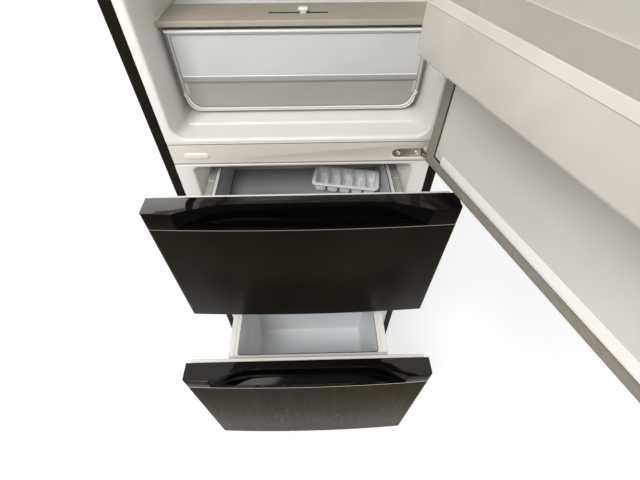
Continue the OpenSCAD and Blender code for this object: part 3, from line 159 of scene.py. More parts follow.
# material() takes name, colour, roughness, colour spread, scale of the mottling and roughness spread
LOOKS = {
    "casing": material("casing_black", (0.0085, 0.0068, 0.0045), 0.36, 0.2, 40, bump=0.15, bump_scale=1500,
                       specular=0.07, tint=(1.0, 0.88, 0.72)),
    "panel": material("front_dark_satin", (0.0068, 0.0050, 0.0030), 0.3, 0.4, 5, 0.05, bump=0.04,
                      bump_scale=1200, specular=0.055, stretch=(1, 1, 0.4), tint=(1.0, 0.76, 0.48)),
    # Painted highlight along the trims' lower edges: browner on the upper front and the door, paler on the
    # lower front
    "seam": material("seam_highlight_brown", (0.22, 0.18, 0.13), 0.5, 0.05, 60, 0.05),
    "seam_low": material("seam_highlight_cream", (0.56, 0.49, 0.39), 0.5, 0.05, 60, 0.05),
    "gloss": material("trim_gloss_black", (0.0035, 0.0030, 0.0026), 0.06, 0.1, 50, 0.02,
                      tint=(1.0, 0.96, 0.9)),
    # Painted shade: a duller, browner copy of the gloss for the trims' front faces, without the floor's
    # reflection
    "gloss_front_shaded": material("trim_gloss_front_shaded", (0.0055, 0.0042, 0.0025), 0.16, 0.1, 50, 0.03, specular=0.026,
                           tint=(1.0, 0.8, 0.6)),
    # Painted shade: a blacker copy of the gloss for the recess's back wall
    "gloss_recess_shade": material("trim_gloss_recess_shade", (0.0012, 0.0012, 0.0011), 0.16, 0.1, 50, 0.03,
                           specular=0.02),
    "liner": moulded("liner_warm_white", (0.79, 0.768, 0.727), 0.012),
    "door_white": moulded("door_liner_grey", (0.66, 0.635, 0.585), 0.015),
    "rail": moulded("rail_cream", (0.675, 0.63, 0.572), 0.02, 10),
    # Cream of the oval cap, also a painted highlight on the hinge recess's bevel
    "cap": material("cap_cream_and_highlight", (0.79, 0.75, 0.70), 0.3, 0.02, 20, 0.05, bump=0.03),
    "cover": material("cover_taupe", (0.35, 0.32, 0.26), 0.45, 0.05, 30, 0.06, bump=0.12, bump_scale=1800),
    # Grey of the printed tick marks, also painted shade in the cross rail's grooves
    "mark": material("tick_and_shade_grey", (0.20, 0.18, 0.15), 0.5, 0.05, 30, 0.06),
    "clear": see_through("clear_plastic", (0.90, 0.90, 0.88), 0.12, 0.02, 0.34),
    # Painted shade: greyer clear plastic for the crisper front below its cross bar
    "clear_shade_field": see_through("clear_plastic_shade_field", (0.42, 0.40, 0.36), 0.14, 0.04, 0.45),
    # Denser clear plastic of the shelf strips and the lamp lens, also a painted highlight on the crisper's
    # rim, bar top and raised rings
    "clear_edge": see_through("clear_plastic_dense_and_highlight", (0.90, 0.91, 0.88), 0.12, 0.02, 0.85),
    # Painted shade: dark lines where the crisper's edges and its gap to the liner lie in shadow
    "clear_shade_line": see_through("clear_plastic_shade_line", (0.24, 0.24, 0.22), 0.15, 0.04, 0.75),
    "bin": see_through("bin_smoked", (0.645, 0.605, 0.548), 0.18, 0.04, 0.8, 0.05),
    "bin_edge": see_through("bin_rim", (0.70, 0.66, 0.60), 0.2, 0.04, 0.92, 0.05),
    # Painted shade: dark lines along the bins' foot and rear corners
    "bin_shade_line": see_through("bin_edge_shade_line", (0.30, 0.275, 0.24), 0.2, 0.04, 0.9, 0.05),
    "glass": material("shelf_glass", (0.95, 0.96, 0.95), 0.14, 0.01, 10, 0.01, alpha=0.8),
    "gasket_taupe": material("gasket_taupe", (0.25, 0.225, 0.185), 0.6, 0.06, 80, 0.06, bump=0.2),
    "gasket_white": material("gasket_white", (0.85, 0.82, 0.755), 0.55, 0.03, 80, 0.06, bump=0.15),
    # Grey plastic, darkened further as painted shade; basket_wall is its lighter copy for lit walls and
    # rims
    "basket": frosted("basket_grey", (0.33, 0.335, 0.34), 0.3, 0.04, 0.85),
    "basket_wall": frosted("basket_wall", (0.70, 0.71, 0.71), 0.3, 0.03, 0.85),
    "basket_pale": frosted("basket_pale", (0.93, 0.94, 0.95), 0.25, 0.015, 0.95),
    "bar": material("bar_white", (0.84, 0.82, 0.77), 0.35, 0.02, 20, 0.06, bump=0.05),
    "ice": material("ice_tray_white", (0.76, 0.765, 0.76), 0.35, 0.02, 40, 0.05, bump=0.05),
    "nickel": material("nickel_steel", (0.40, 0.385, 0.33), 0.34, 0.05, 30, metallic=1.0,
                       stretch=(1, 1, 12)),
    "screw": material("screw_steel", (0.78, 0.77, 0.73), 0.22, 0.05, 200, 0.06, metallic=1.0),
    "slide": material("slide_zinc", (0.60, 0.59, 0.56), 0.4, 0.06, 40, 0.1, metallic=0.6,
                      stretch=(1, 12, 1)),
    "zinc": material("rear_zinc", (0.40, 0.39, 0.37), 0.5, 0.1, 18, metallic=0.6),
    "base": material("base_black", (0.02, 0.0195, 0.019), 0.5, 0.15, 60, bump=0.1),
    "foam": material("foam_core", (0.72, 0.60, 0.34), 0.9, 0.1, 120, 0.05, bump=0.6, bump_scale=300),
    "white": material("panel_white", (0.82, 0.80, 0.76), 0.35, 0.02, 20, 0.05, bump=0.04),
    "fin": material("fin_aluminium", (0.60, 0.61, 0.62), 0.35, 0.06, 60, metallic=1.0),
    "duct": material("duct_white", (0.74, 0.735, 0.71), 0.42, 0.02, 20, 0.05, bump=0.06),
    "dark_metal": material("dark_enamel", (0.012, 0.012, 0.0125), 0.35, 0.15, 50, bump=0.1),
    "rubber": material("mount_rubber", (0.015, 0.015, 0.015), 0.75, 0.1, 100, 0.05, bump=0.2),
    # Dark plastic of the feet, rollers and drip tray, also used as painted shade in gaps, slots and edges
    "dark_plastic": material("dark_plastic", (0.02, 0.02, 0.021), 0.6, 0.1, 80, 0.06, bump=0.2),
}


def mix_colors(tree, fac, a, b):
    """Colour mix; the node's colours are its inputs 6 and 7, and its result is output 2."""
    mix = tree.nodes.new("ShaderNodeMix")
    mix.data_type = "RGBA"
    tree.links.new(fac, mix.inputs[0])
    for value, inp in ((a, 6), (b, 7)):
        if isinstance(value, tuple):
            mix.inputs[inp].default_value = (*value, 1)
        else:
            tree.links.new(value, mix.inputs[inp])
    return mix.outputs[2]


# Pale streaks and flecks: noise scale, stretch, threshold, full strength, colour
STREAKS = ((70, (1, 1, 0.10), 0.55, 0.70, (0.060, 0.047, 0.030)),
           (120, (1, 1, 0.22), 0.63, 0.74, (0.17, 0.135, 0.10)))
# They start at one height in metres, are full at the other, and cover this share there
STREAK_START = 0.42
STREAK_FULL = 0.16
STREAK_SHARE = 0.72


def streaked_front():
    """Satin steel like the other fronts, but with a lighter, browner base colour as a painted reflection,
    faint vertical streaks and pale flecks towards its foot.
    """
    # Painted reflection: the base colour is lighter and browner than the other fronts'
    m = material("front_streaked_reflection", (0.0225, 0.0170, 0.0070), 0.32, 0.2, 60, 0.05, bump=0.05,
                 bump_scale=1200, specular=0.016, stretch=(1, 1, 0.05), tint=(1.0, 0.78, 0.38))
    tree = m.node_tree
    shader = tree.nodes["Principled BSDF"]
    color = shader.inputs["Base Color"].links[0].from_socket
    coords = tree.nodes.new("ShaderNodeTexCoord")
    split = tree.nodes.new("ShaderNodeSeparateXYZ")
    link(tree, coords, "Object", split, "Vector")
    fade = map_range(tree, split, "Z", STREAK_START, STREAK_FULL, to_max=STREAK_SHARE)
    for scale, stretch, low, high, pale in STREAKS:
        fleck = noise(tree, coords, scale, 3.0, stretch)
        pick = map_range(tree, fleck, "Fac", low, high)
        share = calc(tree, "MULTIPLY", (fade, "Result"), (pick, "Result"))
        color = mix_colors(tree, share.outputs[0], color, pale)
    tree.links.new(color, shader.inputs["Base Color"])
    return m


# The lower front: same steel as the others, with a painted reflection in its base colour
LOOKS["panel_low"] = streaked_front()


# Mesh helpers
SIDES = (-1, 1)
AXES = {"x": lambda a, b, v: (v, a, b), "y": lambda a, b, v: (a, v, b), "z": lambda a, b, v: (a, b, v)}


def four(r):
    """One corner radius as four; four of them stay as they are."""
    return r if isinstance(r, (list, tuple)) else (r,) * 4


def rounded_loop(x0, x1, y0, y1, r, n=5):
    """Outline of a rectangle with rounded corners; r is one radius or four, round from the low corner."""
    points = []
    corners = ((x0, y0, 180), (x1, y0, 270), (x1, y1, 0), (x0, y1, 90))
    for (cx, cy, start), q in zip(corners, four(r)):
        q = max(q, 0.05)
        mx = cx + (q if cx == x0 else -q)
        my = cy + (q if cy == y0 else -q)
        for k in range(n + 1):
            a = math.radians(start + 90 * k / n)
            points.append((mx + q * math.cos(a), my + q * math.sin(a)))
    return points


def loft(bm, rings, axis="z", closed=False):
    """Skin over rings of equal length, each given as (points, value along the axis)."""
    made = [[bm.verts.new(AXES[axis](a, b, v)) for a, b in points] for points, v in rings]
    pairs = list(zip(made, made[1:])) + ([(made[-1], made[0])] if closed else [])
    for low, high in pairs:
        for i in range(len(low)):
            j = (i + 1) % len(low)
            bm.faces.new((low[i], low[j], high[j], high[i]))
    if not closed:
        bm.faces.new(made[0][::-1])
        bm.faces.new(made[-1])


def edge(r, n=3):
    """Depths and insets of a rounded edge of radius r, from the end face inward."""
    turns = [math.radians(90 * k / n) for k in range(n + 1)]
    return [(r * (1 - math.cos(a)), r * (1 - math.sin(a))) for a in turns]


def solid(bm, outline, v0, v1, e0=0.0, e1=0.0, axis="z", n=3):
    """Solid between v0 and v1 whose outline(inset) gives its section; e0 and e1 round its ends."""
    low = [(v0 + d, i) for d, i in edge(e0, n)] if e0 else [(v0, 0.0)]
    high = [(v1 - d, i) for d, i in reversed(edge(e1, n))] if e1 else [(v1, 0.0)]
    loft(bm, [(outline(i), v) for v, i in low + high], axis)


def block(bm, x, y, z, r=1.0, axis="z", e0=0.0, e1=0.0, n=4):
    """Box between the pairs x, y and z with rounded long edges and rounded ends along the axis."""
    spans = {"x": (y, z, x), "y": (x, z, y), "z": (x, y, z)}[axis]
    (a0, a1), (b0, b1), (v0, v1) = spans
    solid(bm, lambda i: rounded_loop(a0 + i, a1 - i, b0 + i, b1 - i, [q - i for q in four(r)], n),
          v0, v1, e0, e1, axis)


def around(half, at=0.0):
    """Span that reaches half to each side of a place."""
    return at - half, at + half


def span(side, a, b):
    """Span a to b on the right side, or its mirror image on the left."""
    return (a, b) if side > 0 else (-b, -a)


def twin(bm, x, *rest):
    """The same block on the left and on the right side; x is its span on the right."""
    for side in SIDES:
        block(bm, span(side, *x), *rest)


def lathe(bm, at, profile, axis="z", n=32):
    """Turned piece around a line through at; the profile lists (radius, value along the axis)."""
    a, b = at
    turns = [2 * math.pi * k / n for k in range(n)]
    loft(bm, [([(a + r * math.cos(t), b + r * math.sin(t)) for t in turns], v) for r, v in profile], axis)


def tub(bm, x, y, z, wall, r, foot, lip=(0.0, 0.0), lip_t=3.0, band=0.0, band_h=0.0, n=5):
    """Open box with rounded corners and foot, an outward lip, and a thicker band below its rim."""
    (x0, x1), (y0, y1), (z0, z1) = x, y, z

    def ring(level, ix, iy):
        radii = [max(q - (ix + iy) / 2, 0.4) for q in four(r)]
        return rounded_loop(x0 + ix, x1 - ix, y0 + iy, y1 - iy, radii, n), level

    rings = [ring(z0 + d, band + i, band + i) for d, i in edge(foot, 4)]
    if band:
        rings += [ring(z1 - band_h - 1, band, band), ring(z1 - band_h, 0, 0)]
    top = z1 - lip_t
    if lip != (0.0, 0.0):
        rings += [ring(top, 0, 0), ring(top, -lip[0], -lip[1])]
    rings += [ring(z1 - 0.6, -lip[0], -lip[1]), ring(z1, 0.6 - lip[0], 0.6 - lip[1]),
              ring(z1, wall - 0.5, wall - 0.5), ring(z1 - 0.5, wall, wall)]
    inner = max(foot - wall, 0.6)
    rings += [ring(z0 + wall + d, wall + band + i, wall + band + i) for d, i in reversed(edge(inner, 4))]
    loft(bm, rings)


def mesh_of(name, bm):
    """Mesh made from a bmesh, which is used up."""
    mesh = bpy.data.meshes.new(name)
    bm.to_mesh(mesh)
    bm.free()
    return mesh


def object_of(name, bm):
    """Object in the scene made from a bmesh, which is used up."""
    obj = bpy.data.objects.new(name, mesh_of(name, bm))
    bpy.context.scene.collection.objects.link(obj)
    return obj


def boolean(bm, tool, op="DIFFERENCE", own=False):
    """Cuts or joins two bmeshes and returns the result; both inputs are used up."""
    made = []
    for part in (bm, tool):
        bmesh.ops.recalc_face_normals(part, faces=part.faces)
        made.append(object_of("work", part))
    mod = made[0].modifiers.new("work", "BOOLEAN")
    mod.operation = op
    mod.solver = "EXACT"
    mod.use_self = own
    mod.object = made[1]
    graph = bpy.context.evaluated_depsgraph_get()
    mesh = bpy.data.meshes.new_from_object(made[0].evaluated_get(graph))
    out = bmesh.new()
    out.from_mesh(mesh)
    bpy.data.meshes.remove(mesh)
    for obj in made:
        old = obj.data
        bpy.data.objects.remove(obj)
        bpy.data.meshes.remove(old)
    bmesh.ops.remove_doubles(out, verts=out.verts, dist=0.002)
    return out


def add(bm, part):
    """Adds one bmesh to another as it is; the part is used up."""
    mesh = mesh_of("work", part)
    bm.from_mesh(mesh)
    bpy.data.meshes.remove(mesh)


def paint(bm, index, test):
    """Gives the faces whose centre passes the test another material of the piece."""
    for f in bm.faces:
        if test(f.calc_center_median()):
            f.material_index = index


def painted(bm, index, make):
    """Runs make() and gives the faces that it adds another material of the piece."""
    start = len(bm.faces)
    make()
    bm.faces.ensure_lookup_table()
    for f in bm.faces[start:]:
        f.material_index = index


def soften(obj, width, angle, harden=False):
    """Rounds the edges that are sharper than the angle; the width is in millimetres."""
    bevel = obj.modifiers.new("edge", "BEVEL")
    bevel.width = width * MM
    bevel.segments = 2
    bevel.limit_method = "ANGLE"
    bevel.angle_limit = math.radians(angle)
    bevel.harden_normals = harden


def piece(name, bm, looks, node=None, body=None, soft=0, angle=35):
    """Turns a bmesh in millimetres into a shown piece that rides on its body and stands for a CAD node."""
    body = body or BODY_OF[node]
    bmesh.ops.recalc_face_normals(bm, faces=bm.faces)
    bm.transform(PLACE.get(body, TO_FRAME))
    obj = object_of(name, bm)
    mesh = obj.data
    for look in ([looks] if isinstance(looks, str) else looks):
        mesh.materials.append(LOOKS[look])
    for p in mesh.polygons:
        p.use_smooth = True
    mesh.set_sharp_from_angle(angle=math.radians(angle))
    if soft:
        soften(obj, soft, angle, harden=True)
    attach(obj, body)
    if node:
        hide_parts(node)


# Fronts
FRONT_HALF = 297.5
FRONT_CORNER = 7.0
FRONT_COLUMNS = 36
BOW_Y = 5471.8
BOW_R = 5535.6
PLATE_HALF = 296.5
REAR = -12.5
SKIN_BACK = -12.9
PLATE_FRONT = -14.5
TRIM_H = 42.0
SEAM_GAP = 1.1
RECESS_HALF = 236.0
RECESS_FRONT = -80.0
RECESS_BACK = -33.5
RECESS_FLOOR = 2.5
RECESS_SLOPE = 0.293
POCKET_DEPTH = 30.0
POCKET_WALL = 2.5
POCKET_BEHIND_FACE = 7.0
POCKET_IN_RECESS = 3.0
PIN_BORE = 5.05
PLUG_HALF = 204
IN_PLATE = -13.4

# A front runs from its foot to the seam under its grip trim; the door's seam is its lower end, so up is -1
Front = namedtuple("Front", "foot seam up")
UPPER = Front(538, 862, 1)
LOWER = Front(35, 471, 1)
DOOR = Front(1862, 956, -1)


def bow_y(x, inset=0.0):
    """Where the bowed face of a front stands at x."""
    return BOW_Y - math.sqrt((BOW_R - inset) ** 2 - x * x)


def front_outline(inset, back=REAR):
    """Plan outline of a front: bowed face, rounded corners and a straight back."""
    half = FRONT_HALF - inset
    r = max(FRONT_CORNER - inset, 0.3)
    edge_x = half - r
    cy = bow_y(edge_x, inset) + r

    def corner(x, start):
        turns = [math.radians(start + 18 * k) for k in range(6)]
        return [(x + r * math.cos(a), cy + r * math.sin(a)) for a in turns]

    columns = [-edge_x + 2 * edge_x * k / FRONT_COLUMNS for k in range(1, FRONT_COLUMNS)]
    face = [(x, bow_y(x, inset)) for x in columns]
    return [(-half, back)] + corner(-edge_x, 180) + face + corner(edge_x, 270) + [(half, back)]


def grip_curve():
    """Back edge of the handle recess, from its right end to its left end."""
    steps = 10
    right = [(RECESS_HALF, -55.8), (213.5, -49.2)]
    p, c, q = (191.0, -42.6), (160.0, RECESS_BACK), (128.0, RECESS_BACK)
    for k in range(steps + 1):
        t = k / steps
        right.append(tuple((1 - t) ** 2 * p[i] + 2 * t * (1 - t) * c[i] + t * t * q[i] for i in (0, 1)))
    right += [(x, RECESS_BACK) for x in (96.0, 64.0, 32.0)]
    return right + [(-x, y) for x, y in reversed(right)]


def pocket_outline(grow=0.0):
    """Finger pocket seen from above: inside the recess and behind the face, widened by grow."""
    curve = grip_curve()
    front = POCKET_BEHIND_FACE - grow
    shift = POCKET_IN_RECESS - grow
    moved = []
    for i, (x, y) in enumerate(curve):
        ax, ay = curve[max(i - 1, 0)]
        bx, by = curve[min(i + 1, len(curve) - 1)]
        length = math.hypot(bx - ax, by - ay)
        moved.append((x - (by - ay) / length * shift, y + (bx - ax) / length * shift))
    back = [p for p in moved if p[1] > bow_y(p[0], front) + 0.3]
    end_x, end_y = back[0]
    reach = end_x + (end_y - bow_y(end_x, front)) / RECESS_SLOPE * 0.9
    columns = [-reach + 2 * reach * k / 24 for k in range(25)]
    return [(x, bow_y(x, front)) for x in columns] + back


def prism(outline, z0, z1):
    """Upright solid with a constant section."""
    bm = bmesh.new()
    loft(bm, [(outline, z0), (outline, z1)])
    return bm


def pocket_cut(grow=2.6, spare=0.1):
    """Tool that clears the finger pocket's tub out of what lies under the trim."""
    return prism(pocket_outline(grow), -POCKET_DEPTH - spare, 5.0)


def pin_bore(z0, z1):
    """Tool for the hole that the hinge's pin turns in."""
    hole = bmesh.new()
    lathe(hole, (PIN.x, PIN.y), [(PIN_BORE, z0), (PIN_BORE, z1)])
    return hole


def flip(bm, front):
    """Moves a piece drawn around height 0 to its seam, upside down for the door."""
    for v in bm.verts:
        v.co.z = front.seam + front.up * v.co.z
    if front.up < 0:
        bmesh.ops.reverse_faces(bm, faces=bm.faces)


def handle_trim(name, node, front, bore=False):
    """Gloss trim with the handle's recess and, under it, the tub of the finger pocket; its front faces
    carry painted shade.
    """
    bm = bmesh.new()
    solid(bm, front_outline, 0.0, TRIM_H, 0.4, 1.5)
    recess = [(-RECESS_HALF, RECESS_FRONT), (RECESS_HALF, RECESS_FRONT)] + grip_curve()
    bm = boolean(bm, prism(recess, RECESS_FLOOR, 60.0))
    bm = boolean(bm, prism(pocket_outline(), -5.0, 10.0))
    if bore:
        bm = boolean(bm, pin_bore(24.0, 60.0))
    hollow = prism(pocket_outline(), POCKET_WALL - POCKET_DEPTH, 5.0)
    add(bm, boolean(prism(pocket_outline(POCKET_WALL), -POCKET_DEPTH, 0.0), hollow))
    bmesh.ops.recalc_face_normals(bm, faces=bm.faces)
    # Painted shade: front faces of the end blocks take the duller copy, and the recess's back wall takes
    # the blacker one
    for f in bm.faces:
        c = f.calc_center_median()
        if f.normal.y < -0.35 and c.z > -0.5:
            f.material_index = 1 if abs(c.x) > RECESS_HALF - 0.5 else 2
    flip(bm, front)
    piece(name, bm, ["gloss", "gloss_front_shaded", "gloss_recess_shade"], node, soft=0.9, angle=30)


def front_skin(name, node, front, look, strip, foot_round):
    """Steel front with the pocket cut out; strip is the height of the seam strip above it."""
    bm = bmesh.new()
    solid(bm, lambda i: front_outline(i, SKIN_BACK), -abs(front.seam - front.foot), -strip - SEAM_GAP,
          foot_round, 0.8)
    bm = boolean(bm, pocket_cut())
    flip(bm, front)
    piece(name, bm, look, node)


def seam_strip(name, node, front, look, strip):
    """Pale strip under the grip trim as a painted highlight, over a gap filled dark as painted shade."""
    back = -14.4
    bm = bmesh.new()
    solid(bm, lambda i: front_outline(i + 0.2, back), -strip, -0.02)
    solid(bm, lambda i: front_outline(i + 2.2, back), -strip - SEAM_GAP - 0.6, -strip + 0.1)
    bm = boolean(bm, pocket_cut(), own=True)
    # Painted shade: the filled gap under the strip is dark
    paint(bm, 1, lambda c: c.z < -strip)
    flip(bm, front)
    piece(name, bm, [look, "dark_plastic"], body=BODY_OF[node])


def foam_core(name, node, front, half, back, plug_z):
    """Foam between a front's skin and its inner panel, with the part that fills the plug."""
    bm = bmesh.new()
    solid(bm, lambda i: front_outline(i + 1.4, -14.8), 1.2 - abs(front.seam - front.foot), -4.2, 1.0, 0)
    bm = boolean(bm, pocket_cut(2.9, 0.5))
    flip(bm, front)
    block(bm, around(half), (-15.5, back), plug_z, 3, "y", 0, 2)
    piece(name, bm, "foam", node)


def inner_panel(name, node, front, plug_z):
    """Plate behind a drawer front, with the plug that stands into the freezer's mouth."""
    bm = bmesh.new()
    block(bm, around(PLATE_HALF), (PLATE_FRONT, REAR), (front.foot + 1, front.seam), 3, "y")
    block(bm, around(PLUG_HALF), (IN_PLATE, 14), plug_z, 14, "y", 0, 2, 6)
    piece(name, bm, "liner", node)


# Seals as (inset, y) round their section: soft lips at both edges and a flat face
DRAWER_SEAL = [(0, REAR), (0, -3.6), (0.8, -1.8), (2.5, -0.8), (4, -0.5), (14, -0.5), (16.5, -0.8),
               (18.2, -1.8), (19, -3.6), (19, REAR)]
DOOR_SEAL = [(0, REAR), (0, -4), (0.8, -2.2), (2.5, -1.0), (4.5, -0.5), (22.5, -0.5), (24.4, -1.0),
             (25.4, -2.2), (26, -4), (26, REAR)]


def gasket(name, node, look, half, z0, z1, profile):
    """Seal around a front; the taupe one has its inner edge painted dark as painted shade in the gap by the
    liner.
    """
    bm = bmesh.new()
    loft(bm, [(rounded_loop(-half + i, half - i, z0 + i, z1 - i, 2, 2), y) for i, y in profile], "y", True)
    rim = profile[-1][0] - 2.0
    # Painted shade: dark inner edge of the taupe seal
    if look == "gasket_taupe":
        paint(bm, 1, lambda c: abs(c.x) < half - rim and z0 + rim < c.z < z1 - rim)
    piece(name, bm, [look, "dark_plastic"], node, angle=50)


def build_fronts():
    for name, node, front, look, strip, strip_look, foot_round in (
            ("upper_front_skin", "upper_front_panel", UPPER, "panel", 1.7, "seam", 1.5),
            ("lower_front_skin", "lower_front_panel", LOWER, "panel_low", 2.4, "seam_low", 1.5),
            ("door_skin", "door_panel", DOOR, "panel", 1.7, "seam", 0.4)):
        front_skin(name, node, front, look, strip, foot_round)
        seam_strip(name + "_seam_strip", node, front, strip_look, strip)
    handle_trim("upper_grip_trim", "upper_handle_trim", UPPER)
    handle_trim("lower_grip_trim", "lower_handle_trim", LOWER)
    handle_trim("door_grip_trim", "door_handle_trim", DOOR, bore=True)
    foam_core("upper_core", "upper_front_foam", UPPER, 201, 11, (567, 861))
    foam_core("lower_core", "lower_front_foam", LOWER, 201, 11, (149, 470))
    foam_core("door_core", "door_foam", DOOR, 249, 1, (960, 1836))
    inner_panel("upper_inner", "upper_inner_panel", UPPER, (564, 871))
    inner_panel("lower_inner", "lower_inner_panel", LOWER, (146, 488.5))
    gasket("upper_seal", "upper_gasket", "gasket_white", 288, 543, 899, DRAWER_SEAL)
    gasket("lower_seal", "lower_gasket", "gasket_white", 288, 62, 508, DRAWER_SEAL)
    gasket("door_seal", "door_gasket", "gasket_taupe", 285, 920.5, 1875, DOOR_SEAL)


# Rest of the door
BIN_H = 78
BIN_BAND = 12
BIN_PLACES = {"door_bin_lower": 1150, "door_bin_middle": 1385, "door_bin_upper": 1620}


def door_cap():
    """Cap on top of the door, bored for the upper hinge's pin."""
    bm = bmesh.new()
    solid(bm, front_outline, DOOR.foot, 1880, 0.4, 2.5)
    piece("door_cap", boolean(bm, pin_bore(1850, 1890)), "gloss", "door_top_cap", soft=0.5)


def door_ridge(bm):
    """Ridge along the lower edge of the door liner, which falls off at both ends, painted brighter as a
    highlight.
    """
    ridge = [(-3, 951.2), (6.8, 951.2), (7.8, 952.4), (7.6, 958.5), (3.2, 970), (-3, 970)]
    low_end = [(min(y, 3.0), z) for y, z in ridge]
    loft(bm, [(low_end, -233), (ridge, -226), (ridge, 226), (low_end, 233)], "x")


def door_shadow_line(bm):
    """Thin dark frame between the gasket and the liner's shoulder."""
    loft(bm, [(rounded_loop(-258.9 + i, 258.9 - i, 946.6 + i, 1848.9 - i, 3, 3), y)
              for y, i in ((SKIN_BACK, 0), (-12.2, 0), (-12.2, 2.5), (SKIN_BACK, 2.5))], "y", True)


def door_liner():
    """Plate, shoulder up to the gasket, raised middle and the ridge along the lower edge."""
    bm = bmesh.new()
    block(bm, around(PLATE_HALF), (PLATE_FRONT, REAR), (956.2, 1862), 3, "y")
    block(bm, around(257), (IN_PLATE, -1.2), (949.0, 1845.2), 4, "y", 0, 0.6, 4)
    block(bm, around(252), (IN_PLATE, 3.5), (956.5, 1839), 16, "y", 0, 6, 6)
    # Painted highlight: the ridge takes the lighter liner white
    painted(bm, 1, lambda: door_ridge(bm))
    painted(bm, 2, lambda: door_shadow_line(bm))
    piece("door_inner", bm, ["door_white", "liner", "dark_plastic"], "door_liner")


def door_bin(node, z):
    """Smoked bin with a paler rim and fine dark lines of painted shade along its foot and rear corners."""
    bm = bmesh.new()
    tub(bm, (-241, 249), (3.5, 93.5), (z, z + BIN_H), 2.5, (4, 4, 6, 6), foot=5, band=0.8, band_h=BIN_BAND)
    paint(bm, 1, lambda c: c.z > z + BIN_H - BIN_BAND)
    # Painted shade: dark lines along the foot and the rear corners
    below = z + BIN_H - BIN_BAND - 1
    paint(bm, 2, lambda c: c.z < z + 2.2 or c.z < below and c.y > 91 and not -238 < c.x < 246)
    piece(node + "_box", bm, ["bin", "bin_edge", "bin_shade_line"], node)


def build_door():
    door_cap()
    door_liner()
    for node, z in BIN_PLACES.items():
        door_bin(node, z)


# Cabinet: half width, floor and ceiling of both cavities
FRIDGE = (256, 949.5, 1845)
FREEZER = (224, 140, 879)
STEP_TOP = 349.5
FLANGE_HALF = 277
LINER_WALL = 2.0
MOUTH_R = 5
SHELF_LEVELS = (1129.5, 1359.5, 1589.5)
SLIDE_LEDGES = ((828.5, 846), (478.5, 496))
RAIL_Z = (887, 941.5)
GROOVES = (890.4, 937.6)
HINGE_Z = 910
SCREW_XS = (203, 242)
TOP_SCREWS = ((240, 30), (240, 70), (276, 50))


def quarter(*turns):
    """How far along and across a quarter round has gone at each turn in degrees, in radii."""
    return [(math.sin(math.radians(t)), 1 - math.cos(math.radians(t))) for t in turns]


def liner_rings(stations, grow=0.0):
    """Rings along y from stations (y, half width, low z, high z, corner radius)."""
    return [(rounded_loop(-h - grow, h + grow, z0 - grow, z1 + grow, r + grow, 6), y)
            for y, h, z0, z1, r in stations]


def flange_and_mouth(z0, z1, half, floor, top, corner):
    """Stations of the front flange from z0 to z1 and of the rounded edge that leads into the cavity."""
    flange = [(2, FLANGE_HALF, z0, z1, 3), (0.8, FLANGE_HALF, z0, z1, 3),
              (0.0, FLANGE_HALF - 0.8, z0 + 0.8, z1 - 0.8, 3)]
    return flange + [(MOUTH_R * (1 - s), half + MOUTH_R * c, floor - MOUTH_R * c, top + MOUTH_R * c,
                      corner + 3 * c) for s, c in quarter(90, 60, 30)]


def fridge_liner():
    """Fridge cavity with the shelves' ledges and the raised step of its floor."""
    half, floor, top = FRIDGE
    outer = [(502, half - 16, floor + 16, top - 16, 8), (500.5, half, floor, top, 22),
             (14, half, floor, top, 20), (2.2, half + 3, floor, top, 22)]
    inner = [(5, half + 2.6, floor, top, 28), (12, half + 0.8, floor, top, 22), (30, half, floor, top, 20),
             (480, half, floor, top, 20)]
    rear = [(480 + 20 * s, half - 20 * c, floor + 20 * c, top - 20 * c, max(20 * (1 - c), 0.5))
            for s, c in quarter(22.5, 45, 67.5, 90)]
    front = flange_and_mouth(941.9, 1864.5, half + 2.6, floor, top, 28)
    bm = bmesh.new()
    loft(bm, liner_rings(outer, LINER_WALL) + liner_rings(front + inner + rear), "y")
    for level in SHELF_LEVELS:
        twin(bm, (248, 257), (100, 440), (level - 8, level), 2.4, "y", 3, 3)
    block(bm, around(247), (55.5, 499), (948, 953.5), (14, 14, 4, 4), "z", 0, 2, 6)
    piece("fridge_shell", bm, "liner", "fridge_liner")


def slide_ledge(bm, side, z0, z1):
    """Ledge over a slide that grows out of the liner's wall behind the flared mouth."""
    rings = [(rounded_loop(*span(side, 225 - out, 226), z0, z1, 0.4, 3), y)
             for y, out in ((45, 1.2), (150, 19.5), (420, 19.5))]
    loft(bm, rings, "y")


def freezer_liner():
    """Freezer cavity with a flared mouth, the step over the compressor and the slides' ledges."""
    half, floor, top = FREEZER
    outer = [(502, half - 15, STEP_TOP + 15, top - 15, 8), (500.5, half, STEP_TOP, top, 17)]
    outer += [(y, half, low, top, 12)
              for y, low in ((288, STEP_TOP), (283, 200), (282, 150), (270, floor), (46, floor))]
    outer += [(2.2, half + 16, floor, top, 14)]
    front = flange_and_mouth(60, 887, half + 15.4, floor, top, 13)
    flare = [(5, half + 15.4, floor, top, 13)]
    flare += [(y, half + wide, floor, top, 12)
              for y, wide in ((20, 9.6), (38, 2.8), (45, 0.6), (52, 0), (262, 0))]
    wall = [(262 + 18 * s, half, floor + 18 * c, top, 12) for s, c in quarter(30, 60, 90)]
    step = [(280 + 10 * c, half, STEP_TOP - 10 + 10 * s, top, 12) for s, c in quarter(0, 30, 60, 90)]
    rear = [(485 + 15 * s, half - 15 * c, STEP_TOP + 15 * c, top - 15 * c, 12 - 11 * c)
            for s, c in quarter(0, 30, 60, 90)]
    bm = bmesh.new()
    loft(bm, liner_rings(outer, LINER_WALL) + liner_rings(front + flare + wall + step + rear), "y")
    for z0, z1 in SLIDE_LEDGES:
        for side in SIDES:
            slide_ledge(bm, side, z0, z1)
    piece("freezer_shell", bm, "liner", "freezer_liner")


